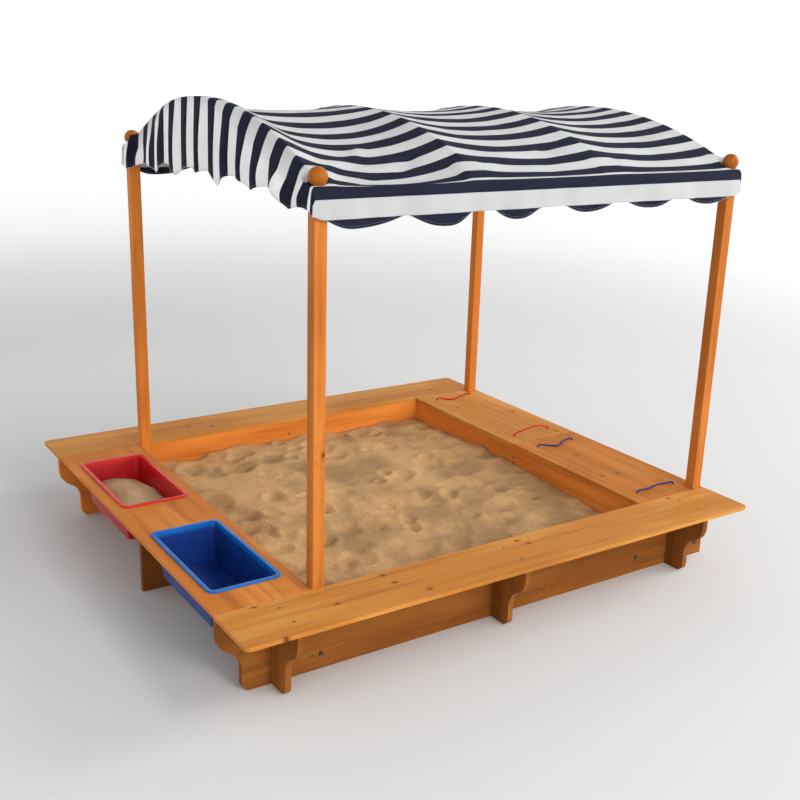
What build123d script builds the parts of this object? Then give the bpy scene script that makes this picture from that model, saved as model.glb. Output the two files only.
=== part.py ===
from build123d import *
from math import asin, cos, degrees, radians, sin, sqrt, tan
import os

# A covered wooden sandbox: seat boards on a box frame, a bench with two tubs, a bench
# with two lift-off storage lids, and a striped canopy on four posts. Millimetres, +Z up,
# +X from the tub bench to the storage bench, origin at the centre of the footprint.

# Overall
LENGTH = 1988.0
WIDTH = 1870.0
SEAT_TOP = 259.0
BOARD_T = 12.0
SEAT_W = 213.0
TUB_BENCH_W = 317.0
WALL_T = 20.0
OUTER_WALL_T = 15.0
CORNER_R = 20.0
EASE = 1.5
WOOD_TOP = SEAT_TOP - BOARD_T
X_END = LENGTH / 2
Y_END = WIDTH / 2
PIT_Y = Y_END - SEAT_W
PIT_X0 = -X_END + TUB_BENCH_W

# Ogee outline shared by rails and brackets, measured from its outermost line
OGEE_LOBE_R = 65.0
OGEE_LOBE_Z = 198.0
OGEE_COVE_R = 72.5
OGEE_COVE_Z = 75.0
OGEE_INSET = 76.0
OGEE_TOE_R = 28.0
BRACKET_DEPTH = 162.0
BRACKET_T = 20.0
BRACKET_X = (-813.0, 0.0, 813.0)

# Storage bench
LID_W = 329.0
LID_X1 = X_END - 2.0
LID_X0 = LID_X1 - LID_W
STORE_X0 = LID_X0 + 6.0
STORE_X1 = X_END - OUTER_WALL_T
LID_GAP = 1.5
PLANK_GAP = 1.0
BATTEN_W = 45.0
BATTEN_T = 18.0
BATTEN_INSET = 150.0
FLOOR_Z = 12.0
FLOOR_T = 6.0

# Rope handles
ROPE_D = 6.0
ROPE_HOLE_D = 8.5
ROPE_SPAN = 190.0
ROPE_X0 = LID_X0 + 64.0
ROPE_INSET = 76.0
KNOT_D = 15.0
KNOT_H = 12.0
ROPE_END_Z = WOOD_TOP - 1.5
LID_SCREW_LEN = 25.0
INNER_PLANK_SCREWS = (62.0, 127.0)
OUTER_PLANK_SCREWS = (197.0, 242.0)

# Posts, finials and canopy frame
POST = 40.0
POST_TOP = 1428.0
POST_EASE = 3.0
POST_LEFT_X = PIT_X0 + POST / 2
POST_RIGHT_X = STORE_X1 - POST / 2
POST_Y = PIT_Y - POST / 2
BALL_R = 27.5
BALL_Z = 1458.0
BALL_BASE_Z = 1431.5
DOWEL_R = 4.0
DOWEL_LEN = 18.0
RAIL_T = 22.0
RAIL_H = 38.0
RAIL_TOP = 1422.0
BOW_R = 6.0
BOW_WALL = 1.2
BOW_GAP = 27.0
SADDLE_W = 26.0
SADDLE_T = 45.0
SADDLE_STEP = 18.0
SADDLE_STEP_Z = 1430.0

# Canopy cover
COVER_T = 2.0
COVER_X0 = PIT_X0 - 10.0
COVER_X1 = STORE_X1 + 10.0
COVER_Y = PIT_Y + 8.0
COVER_EAVE = 1431.0
COVER_PEAK = 1608.0
VALANCE_Z = 1347.0
LOBE_DROP = 28.0
LOBE_COUNT = 6
LOBE_SHARE = 0.72
END_RISE = 40.0
COVER_R = (COVER_Y**2 + (COVER_PEAK - COVER_EAVE) ** 2) / (2 * (COVER_PEAK - COVER_EAVE))
COVER_CZ = COVER_PEAK - COVER_R
BOW_PATH_R = COVER_R - COVER_T - 0.6 - BOW_R

# Tubs
TUB_L = 488.0
TUB_W = 242.0
TUB_X = -X_END + 161.5
TUB_Y = 361.0
TUB_LIP_T = 6.0
TUB_WALL = 3.0
TUB_BASE_L = 408.0
TUB_BASE_W = 188.0
TUB_BASE_Z = 122.0
TUB_CORNER = 26.0
NOTCH_W = 4.0
NOTCH_DEPTH = 6.0
CUT_L = 472.0
CUT_W = 226.0

# Sand
SHEET_T = 1.5
SAND_TOP = 165.0
TUB_SAND_Z = 180.0
TUB_SAND_CROWN = 22.0
SAND_DOME_R = 500.0

# Fasteners
SCREW_HEAD_R = 4.5
SCREW_HEAD_T = 2.0
SCREW_R = 2.0
SCREW_LEN = 38.0
BOLT_HEAD_R = 6.5
BOLT_HEAD_T = 4.0
WASHER_R = 9.0
WASHER_T = 1.5
BOLT_R = 3.0
BOLT_LEN = 46.0
LOW_BOLT_Z = 50.0
HIGH_BOLT_Z = 200.0
DIVIDER_SCREW_Z = (177.0, 196.0)
CORNER_BLOCK = 36.0
CORNER_BLOCK_H = 110.0
CORNER_BOLT_X = STORE_X0 - CORNER_BLOCK / 2
CORNER_BOLT_Z = 56.0
CANOPY_SCREW_LEN = 66.0


def box(x0, x1, y0, y1, z0, z1):
    solid = Box(x1 - x0, y1 - y0, z1 - z0)
    return Pos((x0 + x1) / 2, (y0 + y1) / 2, (z0 + z1) / 2) * solid


def ease(solid, radius=EASE):
    """Round the rim of the top face, as a sanded board."""
    return fillet(solid.faces().sort_by(Axis.Z)[-1].edges(), radius)


def ogee_face(depth, top):
    """The outline in (u, z): u runs inwards from the outermost line to depth."""
    turn = asin((OGEE_LOBE_Z - OGEE_COVE_Z) / (OGEE_LOBE_R + OGEE_COVE_R))
    lobe_x = OGEE_LOBE_R
    cove_x = OGEE_INSET - OGEE_COVE_R
    join = (lobe_x - OGEE_LOBE_R * cos(turn), OGEE_LOBE_Z - OGEE_LOBE_R * sin(turn))
    lobe_mid = (
        lobe_x - OGEE_LOBE_R * cos(turn / 2),
        OGEE_LOBE_Z - OGEE_LOBE_R * sin(turn / 2),
    )
    cove_mid = (
        cove_x + OGEE_COVE_R * cos(turn / 2),
        OGEE_COVE_Z + OGEE_COVE_R * sin(turn / 2),
    )
    toe_mid = (
        OGEE_INSET + OGEE_TOE_R * (1 - cos(radians(45))),
        OGEE_TOE_R * (1 - sin(radians(45))),
    )
    top_out, lobe_top = (0, top), (0, OGEE_LOBE_Z)
    cove_end, toe_top = (OGEE_INSET, OGEE_COVE_Z), (OGEE_INSET, OGEE_TOE_R)
    toe_end = (OGEE_INSET + OGEE_TOE_R, 0)
    edges = [
        Line(top_out, lobe_top),
        ThreePointArc(lobe_top, lobe_mid, join),
        ThreePointArc(join, cove_mid, cove_end),
        Line(cove_end, toe_top),
        ThreePointArc(toe_top, toe_mid, toe_end),
        Line(toe_end, (depth, 0)),
        Line((depth, 0), (depth, top)),
        Line((depth, top), top_out),
    ]
    return make_face(edges)


def place_outline(face, origin, u_dir, normal):
    """Stand a (u, z) outline up in space, with u along u_dir and its plane's normal given."""
    return Plane(origin=origin, x_dir=u_dir, z_dir=normal) * face


# ---------------------------------------------------------------- fasteners


def screw(at, direction, length=SCREW_LEN):
    """A screw whose head's outer face is at the given point; direction is into the wood."""
    plane = Plane(origin=at, z_dir=direction)
    head = Pos(0, 0, SCREW_HEAD_T / 2) * Cylinder(SCREW_HEAD_R, SCREW_HEAD_T)
    shank = Pos(0, 0, length / 2) * Cylinder(SCREW_R, length)
    slot = Box(2 * SCREW_HEAD_R * 0.6, 1.0, 1.6) + Box(1.0, 2 * SCREW_HEAD_R * 0.6, 1.6)
    return plane * (head + shank - slot)


def screw_hole(at, direction, length=SCREW_LEN, room=0.15):
    plane = Plane(origin=at, z_dir=direction)
    head = Pos(0, 0, SCREW_HEAD_T / 2) * Cylinder(SCREW_HEAD_R + room, SCREW_HEAD_T)
    shank = Pos(0, 0, length / 2) * Cylinder(SCREW_R + room, length + 1)
    return plane * (head + shank)


def bolt(at, direction):
    """A hex bolt on a washer that lies on the wood's face at the given point."""
    plane = Plane(origin=at, z_dir=direction)
    washer = Pos(0, 0, -WASHER_T / 2) * Cylinder(WASHER_R, WASHER_T)
    head = Pos(0, 0, -WASHER_T - BOLT_HEAD_T) * extrude(
        RegularPolygon(BOLT_HEAD_R, 6), BOLT_HEAD_T
    )
    shank = Pos(0, 0, BOLT_LEN / 2) * Cylinder(BOLT_R, BOLT_LEN)
    return plane * (washer + head + shank)


def bolt_hole(at, direction, room=0.15):
    plane = Plane(origin=at, z_dir=direction)
    return plane * (Pos(0, 0, BOLT_LEN / 2) * Cylinder(BOLT_R + room, BOLT_LEN + 1))


def seat_screw_places():
    """Two screws down into each bracket, front and back."""
    places = []
    for side in (-1, 1):
        for x in BRACKET_X:
            for inset in (52.0, 143.0):
                places.append((x, side * (PIT_Y + inset), SEAT_TOP))
    return places


def rail_bolt_places():
    """Bolts through the long rails into the four posts and the two corner blocks."""
    places = []
    for side in (-1, 1):
        for x in (POST_LEFT_X, POST_RIGHT_X):
            for z in (LOW_BOLT_Z, HIGH_BOLT_Z):
                places.append(((x, side * (PIT_Y + WALL_T), z), (0, -side, 0)))
        places.append(((CORNER_BOLT_X, side * (PIT_Y + WALL_T), CORNER_BOLT_Z), (0, -side, 0)))
    return places


def wall_screw_places():
    """Screws through the long rails into the cross walls, and into the divider's end."""
    places = [((STORE_X0, 0, z), (1, 0, 0)) for z in DIVIDER_SCREW_Z]
    for side in (-1, 1):
        for x in (PIT_X0 - WALL_T / 2, STORE_X0 + WALL_T / 2):
            for z in (LOW_BOLT_Z, HIGH_BOLT_Z):
                places.append(((x, side * (PIT_Y + WALL_T), z), (0, -side, 0)))
    return places


def bracket_screw_places():
    """Screws from inside the pit through the long rails into the brackets."""
    places = []
    for side in (-1, 1):
        for x in BRACKET_X:
            for z in (LOW_BOLT_Z + 10, HIGH_BOLT_Z - 10):
                places.append(((x, side * PIT_Y, z), (0, side, 0)))
    return places


def canopy_screw_places():
    """Screws from outside the posts into the ends of the canopy rails."""
    places = []
    for side in (-1, 1):
        for x, way in ((POST_LEFT_X - POST / 2, 1), (POST_RIGHT_X + POST / 2, -1)):
            for z in (RAIL_TOP - 16, RAIL_TOP - 30):
                places.append(((x, side * POST_Y, z), (way, 0, 0)))
    return places


SEAT_CUTS = [screw_hole(at, (0, 0, -1)) for at in seat_screw_places()]
RAIL_BOLT_CUTS = [bolt_hole(at, way) for at, way in rail_bolt_places()]
WALL_SCREW_CUTS = [screw_hole(at, way) for at, way in wall_screw_places()]
BRACKET_CUTS = [screw_hole(at, way) for at, way in bracket_screw_places()]
CANOPY_CUTS = [screw_hole(at, way, CANOPY_SCREW_LEN) for at, way in canopy_screw_places()]


def drill(solid, cuts):
    """Take out of a piece those holes that reach it."""
    low, high = solid.bounding_box().min, solid.bounding_box().max
    for cut in cuts:
        near = cut.bounding_box()
        apart_x = near.min.X > high.X or near.max.X < low.X
        apart_y = near.min.Y > high.Y or near.max.Y < low.Y
        apart_z = near.min.Z > high.Z or near.max.Z < low.Z
        if not (apart_x or apart_y or apart_z):
            solid = solid - cut
    return solid


# ---------------------------------------------------------------- wooden frame


def seat_board(side):
    y0, y1 = sorted((side * PIT_Y, side * Y_END))
    board = box(-X_END, X_END, y0, y1, WOOD_TOP, SEAT_TOP)
    outer = board.edges().filter_by(Axis.Z).group_by(Axis.Y)[-1 if side > 0 else 0]
    board = ease(fillet(outer, CORNER_R))
    return drill(board, SEAT_CUTS)


def tub_bench_board():
    board = box(-X_END + 3, PIT_X0, -PIT_Y + 0.5, PIT_Y - 0.5, WOOD_TOP, SEAT_TOP)
    for side in (-1, 1):
        hole = box(-CUT_W / 2, CUT_W / 2, -CUT_L / 2, CUT_L / 2, WOOD_TOP - 1, SEAT_TOP + 1)
        hole = fillet(hole.edges().filter_by(Axis.Z), TUB_CORNER - 6)
        board -= Pos(TUB_X, side * TUB_Y, 0) * hole
    return board


def long_rail(side):
    """Front or back rail: ogee end under the tub bench, square end under the lids."""
    y0 = side * PIT_Y
    outline = ogee_face(LENGTH, WOOD_TOP)
    face = place_outline(outline, (-X_END, y0, 0), (1, 0, 0), (0, -1, 0))
    rail = extrude(face, -side * WALL_T)
    return drill(rail, RAIL_BOLT_CUTS + WALL_SCREW_CUTS + BRACKET_CUTS)


def bracket(side, x):
    y_rail = side * (PIT_Y + WALL_T)
    outline = ogee_face(BRACKET_DEPTH, WOOD_TOP)
    start = (x - BRACKET_T / 2 * -side, y_rail + side * BRACKET_DEPTH, 0)
    face = place_outline(outline, start, (0, -side, 0), (-side, 0, 0))
    return drill(extrude(face, BRACKET_T), SEAT_CUTS + BRACKET_CUTS)


def cross_wall(x0, thickness):
    wall = box(x0, x0 + thickness, -PIT_Y, PIT_Y, 0, WOOD_TOP)
    return drill(wall, WALL_SCREW_CUTS)


def tub_bench_support():
    return box(-X_END + 53, PIT_X0 - WALL_T, -10, 10, 0, WOOD_TOP)


def storage_divider():
    panel = box(STORE_X0 + WALL_T, STORE_X1, -7.5, 7.5, FLOOR_Z + FLOOR_T, WOOD_TOP)
    return drill(panel, WALL_SCREW_CUTS)


def corner_block_space(side, top):
    """The corner of the pit, at the storage end, where an upright block stands."""
    y0, y1 = sorted((side * PIT_Y, side * (PIT_Y - CORNER_BLOCK)))
    return box(STORE_X0 - CORNER_BLOCK, STORE_X0, y0, y1, SHEET_T, top)


def corner_blocks():
    """Two blocks, hidden by the sand, that the long rails are bolted to."""
    spaces = [corner_block_space(side, CORNER_BLOCK_H) for side in (-1, 1)]
    return Compound([drill(space, RAIL_BOLT_CUTS) for space in spaces])


def storage_floor():
    panel = box(STORE_X0 + WALL_T, STORE_X1, -PIT_Y, PIT_Y, FLOOR_Z, FLOOR_Z + FLOOR_T)
    for side in (-1, 1):
        panel -= Pos(POST_RIGHT_X, side * POST_Y, FLOOR_Z) * Box(POST, POST, 40)
    return panel


def post(x, y):
    body = box(-POST / 2, POST / 2, -POST / 2, POST / 2, 0, POST_TOP)
    body = fillet(body.edges().filter_by(Axis.Z), POST_EASE)
    body -= Pos(0, 0, POST_TOP - DOWEL_LEN / 2) * Cylinder(DOWEL_R + 0.1, DOWEL_LEN + 2)
    return drill(Pos(x, y, 0) * body, RAIL_BOLT_CUTS + CANOPY_CUTS)


def finial(x, y):
    ball = Pos(0, 0, BALL_Z) * Sphere(BALL_R)
    ball -= Pos(0, 0, BALL_BASE_Z - BALL_R) * Box(3 * BALL_R, 3 * BALL_R, 2 * BALL_R)
    dowel_z0 = POST_TOP - DOWEL_LEN + 2
    dowel = Pos(0, 0, (dowel_z0 + BALL_Z) / 2) * Cylinder(DOWEL_R, BALL_Z - dowel_z0)
    return Pos(x, y, 0) * (ball + dowel)


# ---------------------------------------------------------------- canopy


def canopy_rail(side):
    x0, x1 = POST_LEFT_X + POST / 2, POST_RIGHT_X - POST / 2
    y = side * POST_Y
    rail = box(x0, x1, y - RAIL_T / 2, y + RAIL_T / 2, RAIL_TOP - RAIL_H, RAIL_TOP)
    return drill(rail, CANOPY_CUTS)


def bow_places():
    """Each bow's x, and the Y of the inner faces that its saddles are fixed to."""
    pitch = (POST_RIGHT_X - POST_LEFT_X) / 3
    post_face, rail_face = POST_Y - POST / 2, POST_Y - RAIL_T / 2
    faces = (post_face, rail_face, rail_face, post_face)
    return [(POST_LEFT_X + pitch * i, face) for i, face in enumerate(faces)]


def arched_bar(x, section, face):
    """A section carried along a bow's arc, which ends short of the given faces."""
    start = Plane(origin=(0, 0, BOW_PATH_R), x_dir=(1, 0, 0), z_dir=(0, 1, 0))
    half = degrees(asin((face - BOW_GAP) / BOW_PATH_R))
    return Pos(x, 0, COVER_CZ) * (Rot(-half, 0, 0) * revolve(start * section, Axis.X, 2 * half))


def bow(x, face):
    """A bent tube under the cover."""
    return arched_bar(x, Circle(BOW_R) - Circle(BOW_R - BOW_WALL), face)


def arch_face(radius, y_end):
    """Region under the arc of the given radius about the cover's centre, in (y, z)."""
    edge_z = COVER_CZ + sqrt(radius**2 - y_end**2)
    low = 1200.0
    edges = [
        Line((-y_end, low), (-y_end, edge_z)),
        ThreePointArc((-y_end, edge_z), (0, COVER_CZ + radius), (y_end, edge_z)),
        Line((y_end, edge_z), (y_end, low)),
        Line((y_end, low), (-y_end, low)),
    ]
    return make_face(edges)


def arch_block(radius, y_end, x0, x1):
    plane = Plane(origin=(x0, 0, 0), x_dir=(0, 1, 0), z_dir=(1, 0, 0))
    return extrude(plane * arch_face(radius, y_end), x1 - x0)


def saddle(x, face, side):
    """A stepped block on a post's or rail's inner face, hollowed for the end of a bow."""
    x0, x1 = x - SADDLE_W / 2, x + SADDLE_W / 2
    y_in, y_step = side * (face - SADDLE_T), side * (face - SADDLE_STEP)
    foot = box(x0, x1, *sorted((y_in, side * face)), RAIL_TOP - RAIL_H, SADDLE_STEP_Z)
    head = box(x0, x1, *sorted((y_in, y_step)), SADDLE_STEP_Z - 1, COVER_PEAK)
    block = (foot + head) & arch_block(COVER_R - COVER_T - 1, POST_Y, x0 - 1, x1 + 1)
    return block - arched_bar(x, Circle(BOW_R + 0.05), face)


def scallops(span, rise):
    """Keep-region of a valance seen square on: hem at VALANCE_Z with lobes hanging below."""
    pitch = span / LOBE_COUNT
    half = pitch * LOBE_SHARE / 2

    def hem(u):
        return VALANCE_Z + rise * (1 - (2 * u / span) ** 2)

    edges = []
    last = (-span / 2, hem(span / 2))
    for i in range(LOBE_COUNT):
        mid = -span / 2 + pitch * (i + 0.5)
        start, end = (mid - half, hem(mid - half)), (mid + half, hem(mid + half))
        edges.append(Line(last, start))
        edges.append(ThreePointArc(start, (mid, hem(mid) - LOBE_DROP), end))
        last = end
    corner = (span / 2, hem(span / 2))
    edges.append(Line(last, corner))
    edges.append(Line(corner, (span / 2, 1700)))
    edges.append(Line((span / 2, 1700), (-span / 2, 1700)))
    edges.append(Line((-span / 2, 1700), (-span / 2, hem(span / 2))))
    return make_face(edges)


def long_valance(side):
    middle = (COVER_X0 + COVER_X1) / 2
    y = side * COVER_Y
    plane = Plane(origin=(middle, y, 0), x_dir=(1, 0, 0), z_dir=(0, -1, 0))
    panel = extrude(plane * scallops(COVER_X1 - COVER_X0, 0), side * COVER_T)
    return panel & box(-X_END, X_END, -Y_END, Y_END, 1200, COVER_EAVE)


def end_drape(x, way):
    plane = Plane(origin=(x, 0, 0), x_dir=(0, 1, 0), z_dir=(1, 0, 0))
    panel = extrude(plane * scallops(2 * COVER_Y, END_RISE), way * COVER_T)
    return panel & arch_block(COVER_R, COVER_Y, COVER_X0, COVER_X1)


def canopy_cover():
    """Arched cover with a scalloped fall all round, open below, with four eyelets."""
    outer = arch_block(COVER_R, COVER_Y, COVER_X0, COVER_X1)
    inner = arch_block(COVER_R - COVER_T, COVER_Y - COVER_T, COVER_X0, COVER_X1)
    cover = (outer - inner) & box(-X_END, X_END, -Y_END, Y_END, COVER_EAVE - 5, 1700)
    for side in (-1, 1):
        cover += long_valance(side)
    cover += end_drape(COVER_X0, 1)
    cover += end_drape(COVER_X1, -1)
    for x in (POST_LEFT_X, POST_RIGHT_X):
        for side in (-1, 1):
            eyelet = Cylinder(BALL_R + 0.8, 120, align=(Align.CENTER, Align.CENTER, Align.MIN))
            cover -= Pos(x, side * POST_Y, COVER_EAVE) * eyelet
    return cover


# ---------------------------------------------------------------- storage lids


def lid_span(side):
    """The lid's extent in Y, front (side -1) or back (side 1)."""
    inner, outer = side * LID_GAP, side * (PIT_Y - LID_GAP)
    return min(inner, outer), max(inner, outer)


def rope_ends(side):
    """The two Y places of a lid's rope handles, the outer one first."""
    y0, y1 = lid_span(side)
    pair = (y0 + ROPE_INSET, y1 - ROPE_INSET)
    return pair if side < 0 else pair[::-1]


def batten_places(side):
    y0, y1 = lid_span(side)
    return (y0 + BATTEN_INSET, y1 - BATTEN_INSET)


def lid_screw_places(side, insets):
    """Screws up through the battens into a plank, at the given distances from the rim."""
    bottom = WOOD_TOP - BATTEN_T
    return [
        ((LID_X0 + inset, y, bottom), (0, 0, 1))
        for y in batten_places(side)
        for inset in insets
    ]


def lid_screw_cuts(side, insets):
    return [screw_hole(at, way, LID_SCREW_LEN) for at, way in lid_screw_places(side, insets)]


def lid_plank(side, inner):
    seam = (LID_X0 + LID_X1) / 2
    x0, x1 = (LID_X0, seam - PLANK_GAP / 2) if inner else (seam + PLANK_GAP / 2, LID_X1)
    plank = ease(box(x0, x1, *lid_span(side), WOOD_TOP, SEAT_TOP), 1.0)
    for y in rope_ends(side):
        x = ROPE_X0 if inner else ROPE_X0 + ROPE_SPAN
        plank -= Pos(x, y, SEAT_TOP) * Cylinder(ROPE_HOLE_D / 2, 4 * BOARD_T)
    if not inner:
        notch = Box(POST + 8, POST + 8, 4 * BOARD_T)
        plank -= Pos(POST_RIGHT_X, side * POST_Y, SEAT_TOP) * notch
    insets = INNER_PLANK_SCREWS if inner else OUTER_PLANK_SCREWS
    return drill(plank, lid_screw_cuts(side, insets))


def lid_battens(side):
    x0, x1 = STORE_X0 + WALL_T + 10, POST_RIGHT_X - POST / 2 - 10
    cuts = lid_screw_cuts(side, INNER_PLANK_SCREWS + OUTER_PLANK_SCREWS)
    battens = []
    for y in batten_places(side):
        bar = box(x0, x1, y - BATTEN_W / 2, y + BATTEN_W / 2, WOOD_TOP - BATTEN_T, WOOD_TOP)
        battens.append(drill(bar, cuts))
    return Compound(battens)


def lid_screws(side):
    places = lid_screw_places(side, INNER_PLANK_SCREWS + OUTER_PLANK_SCREWS)
    return Compound([screw(at, way, LID_SCREW_LEN) for at, way in places])


# Each rope's route over the lid: (along the handle, across it, above the lid's top).
ROPE_ROUTES = {
    ("back", "outer"): [(0, 0, 9), (22, 3, 8), (42, -14, 3.6), (64, -30, 3.4),
                        (92, -26, 3.4), (118, -8, 3.4), (144, -2, 4.4), (168, 2, 7.5),
                        (190, 0, 9)],
    ("back", "inner"): [(0, 0, 9), (22, 3, 12), (50, 1, 17), (82, -3, 24), (116, -2, 27),
                        (146, 2, 23), (169, 3, 15), (190, 0, 9)],
    ("front", "inner"): [(0, 0, 9), (22, 3, 7), (46, -14, 3.5), (72, -33, 3.4),
                         (98, -29, 3.4), (122, -9, 3.4), (144, 2, 4.2), (168, 3, 8),
                         (190, 0, 9)],
    ("front", "outer"): [(0, 0, 9), (22, 1, 7.5), (44, 7, 3.8), (72, 5, 3.4),
                         (102, 16, 3.4), (132, 18, 3.6), (156, 10, 5.5), (172, 4, 8),
                         (190, 0, 9)],
}


def rope_points(end, place, y):
    """Knot to knot: up through one hole, over the lid, down through the other."""
    start = Vector(ROPE_X0, y, 0)
    points = [start + Vector(0, 0, ROPE_END_Z)]
    for along, across, above in ROPE_ROUTES[end, place]:
        points.append(start + Vector(along, across, SEAT_TOP + above))
    points.append(start + Vector(ROPE_SPAN, 0, ROPE_END_Z))
    return points


def corner_radii(points):
    """The largest smooth arc at each corner of a route."""
    radii = []
    for before, at, after in zip(points, points[1:], points[2:]):
        run_in, run_out = at - before, after - at
        half_turn = radians(run_in.get_angle(run_out)) / 2
        radii.append(0.45 * min(run_in.length, run_out.length) / tan(half_turn))
    return radii


def rope(end, place, y):
    points = rope_points(end, place, y)
    radii = corner_radii(points)
    path = FilletPolyline(*points, radius=radii)
    section = Plane(origin=path @ 0, z_dir=path % 0) * Circle(ROPE_D / 2)
    tube = sweep(section, path=path)
    ideal = section.area * path.length
    print("rope", end, place, "length", round(path.length, 1), "volume share",
          round(tube.volume / ideal, 4), "radii", [round(r, 1) for r in radii])
    return tube


def knots(y):
    """A knot under each of the two holes of a rope handle."""
    solids = []
    for x in (ROPE_X0, ROPE_X0 + ROPE_SPAN):
        knot = fillet(Cylinder(KNOT_D / 2, KNOT_H).edges().filter_by(GeomType.CIRCLE), 3)
        solids.append(Pos(x, y, ROPE_END_Z - KNOT_H / 2) * knot)
    return Compound(solids)


# ---------------------------------------------------------------- tubs and sand


def slab_section(length, width, corner, z):
    return Pos(0, 0, z) * RectangleRounded(width, length, corner)


def tub_hollow(shrink, z0, z1):
    """The tapered space of a tub, smaller all round by shrink, between two heights."""
    def section(z):
        share = (z - TUB_BASE_Z) / (SEAT_TOP - TUB_BASE_Z)
        length = TUB_BASE_L + share * (CUT_L - 4 - TUB_BASE_L) - 2 * shrink
        width = TUB_BASE_W + share * (CUT_W - 4 - TUB_BASE_W) - 2 * shrink
        return slab_section(length, width, TUB_CORNER - 7 - shrink, z)

    return loft([section(z0), section(z1)])


def tub(side):
    lip_top = SEAT_TOP + TUB_LIP_T
    body = tub_hollow(0, TUB_BASE_Z, SEAT_TOP + 1)
    lip = extrude(slab_section(TUB_L, TUB_W, TUB_CORNER, SEAT_TOP), TUB_LIP_T)
    lip = fillet(lip.faces().sort_by(Axis.Z)[-1].edges(), TUB_LIP_T / 2)
    shell = body + lip
    shell -= tub_hollow(TUB_WALL, TUB_BASE_Z + TUB_WALL, lip_top + 1)
    notch = Box(2 * NOTCH_DEPTH, NOTCH_W, 3 * TUB_LIP_T)
    shell -= Pos(side * TUB_W / 2, 0, SEAT_TOP + 1.5 * TUB_LIP_T) * notch
    return Pos(TUB_X, side * TUB_Y, 0) * shell


def tub_sand():
    """A mound in the back tub."""
    fill = tub_hollow(TUB_WALL + 0.3, TUB_BASE_Z + TUB_WALL, TUB_SAND_Z + TUB_SAND_CROWN)
    dome = Pos(0, 0, TUB_SAND_Z + TUB_SAND_CROWN - SAND_DOME_R) * Sphere(SAND_DOME_R)
    return Pos(TUB_X, TUB_Y, 0) * (fill & dome)


def pit_slab(z0, z1):
    """A slab filling the pit round the two posts that stand in its corners."""
    slab = box(PIT_X0, STORE_X0, -PIT_Y, PIT_Y, z0, z1)
    for side in (-1, 1):
        slab -= Pos(POST_LEFT_X, side * POST_Y, z0) * Box(POST, POST, 4 * z1)
    return slab


def sand_bed():
    """The sand in the pit, round the posts and over the corner blocks."""
    bed = pit_slab(SHEET_T, SAND_TOP)
    for side in (-1, 1):
        bed -= corner_block_space(side, CORNER_BLOCK_H)
    return bed


# ---------------------------------------------------------------- the whole


def frame_parts():
    parts = {
        "front_seat_board": seat_board(-1),
        "back_seat_board": seat_board(1),
        "tub_bench_board": tub_bench_board(),
        "front_rail": long_rail(-1),
        "back_rail": long_rail(1),
        "tub_bench_wall": cross_wall(PIT_X0 - WALL_T, WALL_T),
        "storage_inner_wall": cross_wall(STORE_X0, WALL_T),
        "storage_outer_wall": cross_wall(STORE_X1, OUTER_WALL_T),
        "tub_bench_support": tub_bench_support(),
        "storage_divider": storage_divider(),
        "corner_blocks": corner_blocks(),
        "storage_floor": storage_floor(),
        "ground_sheet": pit_slab(0, SHEET_T),
        "sand_bed": sand_bed(),
    }
    for side, end in ((-1, "front"), (1, "back")):
        for x, place in zip(BRACKET_X, ("left", "middle", "right")):
            parts[f"{end}_bracket_{place}"] = bracket(side, x)
        for x, place in ((POST_LEFT_X, "left"), (POST_RIGHT_X, "right")):
            parts[f"{end}_{place}_post"] = post(x, side * POST_Y)
            parts[f"{end}_{place}_finial"] = finial(x, side * POST_Y)
        parts[f"canopy_rail_{end}"] = canopy_rail(side)
    return parts


def canopy_parts():
    places = bow_places()
    parts = {f"canopy_bow_{i + 1}": bow(*place) for i, place in enumerate(places)}
    parts["bow_saddles"] = Compound([saddle(*place, s) for place in places for s in (-1, 1)])
    parts["canopy_cover"] = canopy_cover()
    return parts


def fastener_parts():
    return {
        "seat_screws": Compound([screw(at, (0, 0, -1)) for at in seat_screw_places()]),
        "rail_bolts": Compound([bolt(at, way) for at, way in rail_bolt_places()]),
        "wall_screws": Compound([screw(at, way) for at, way in wall_screw_places()]),
        "bracket_screws": Compound([screw(at, way) for at, way in bracket_screw_places()]),
        "canopy_screws": Compound(
            [screw(at, way, CANOPY_SCREW_LEN) for at, way in canopy_screw_places()]
        ),
    }


def lid_parts(side, end):
    parts = {
        f"{end}_lid_inner_plank": lid_plank(side, True),
        f"{end}_lid_outer_plank": lid_plank(side, False),
        f"{end}_lid_battens": lid_battens(side),
        f"{end}_lid_screws": lid_screws(side),
    }
    for y, place in zip(rope_ends(side), ("outer", "inner")):
        parts[f"{end}_lid_rope_{place}"] = rope(end, place, y)
        parts[f"{end}_lid_knots_{place}"] = knots(y)
    return parts


def tub_parts():
    return {"blue_tub": tub(-1), "red_tub": tub(1), "red_tub_sand": tub_sand()}


def main():
    os.makedirs("parts", exist_ok=True)
    parts = frame_parts() | canopy_parts() | fastener_parts()
    parts |= lid_parts(-1, "front") | lid_parts(1, "back") | tub_parts()
    for name, shape in parts.items():
        export_step(shape, f"parts/{name}.step")


main()
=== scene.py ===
import math

import bmesh
import bpy
import numpy as np
from mathutils import Matrix, Vector, noise


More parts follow.
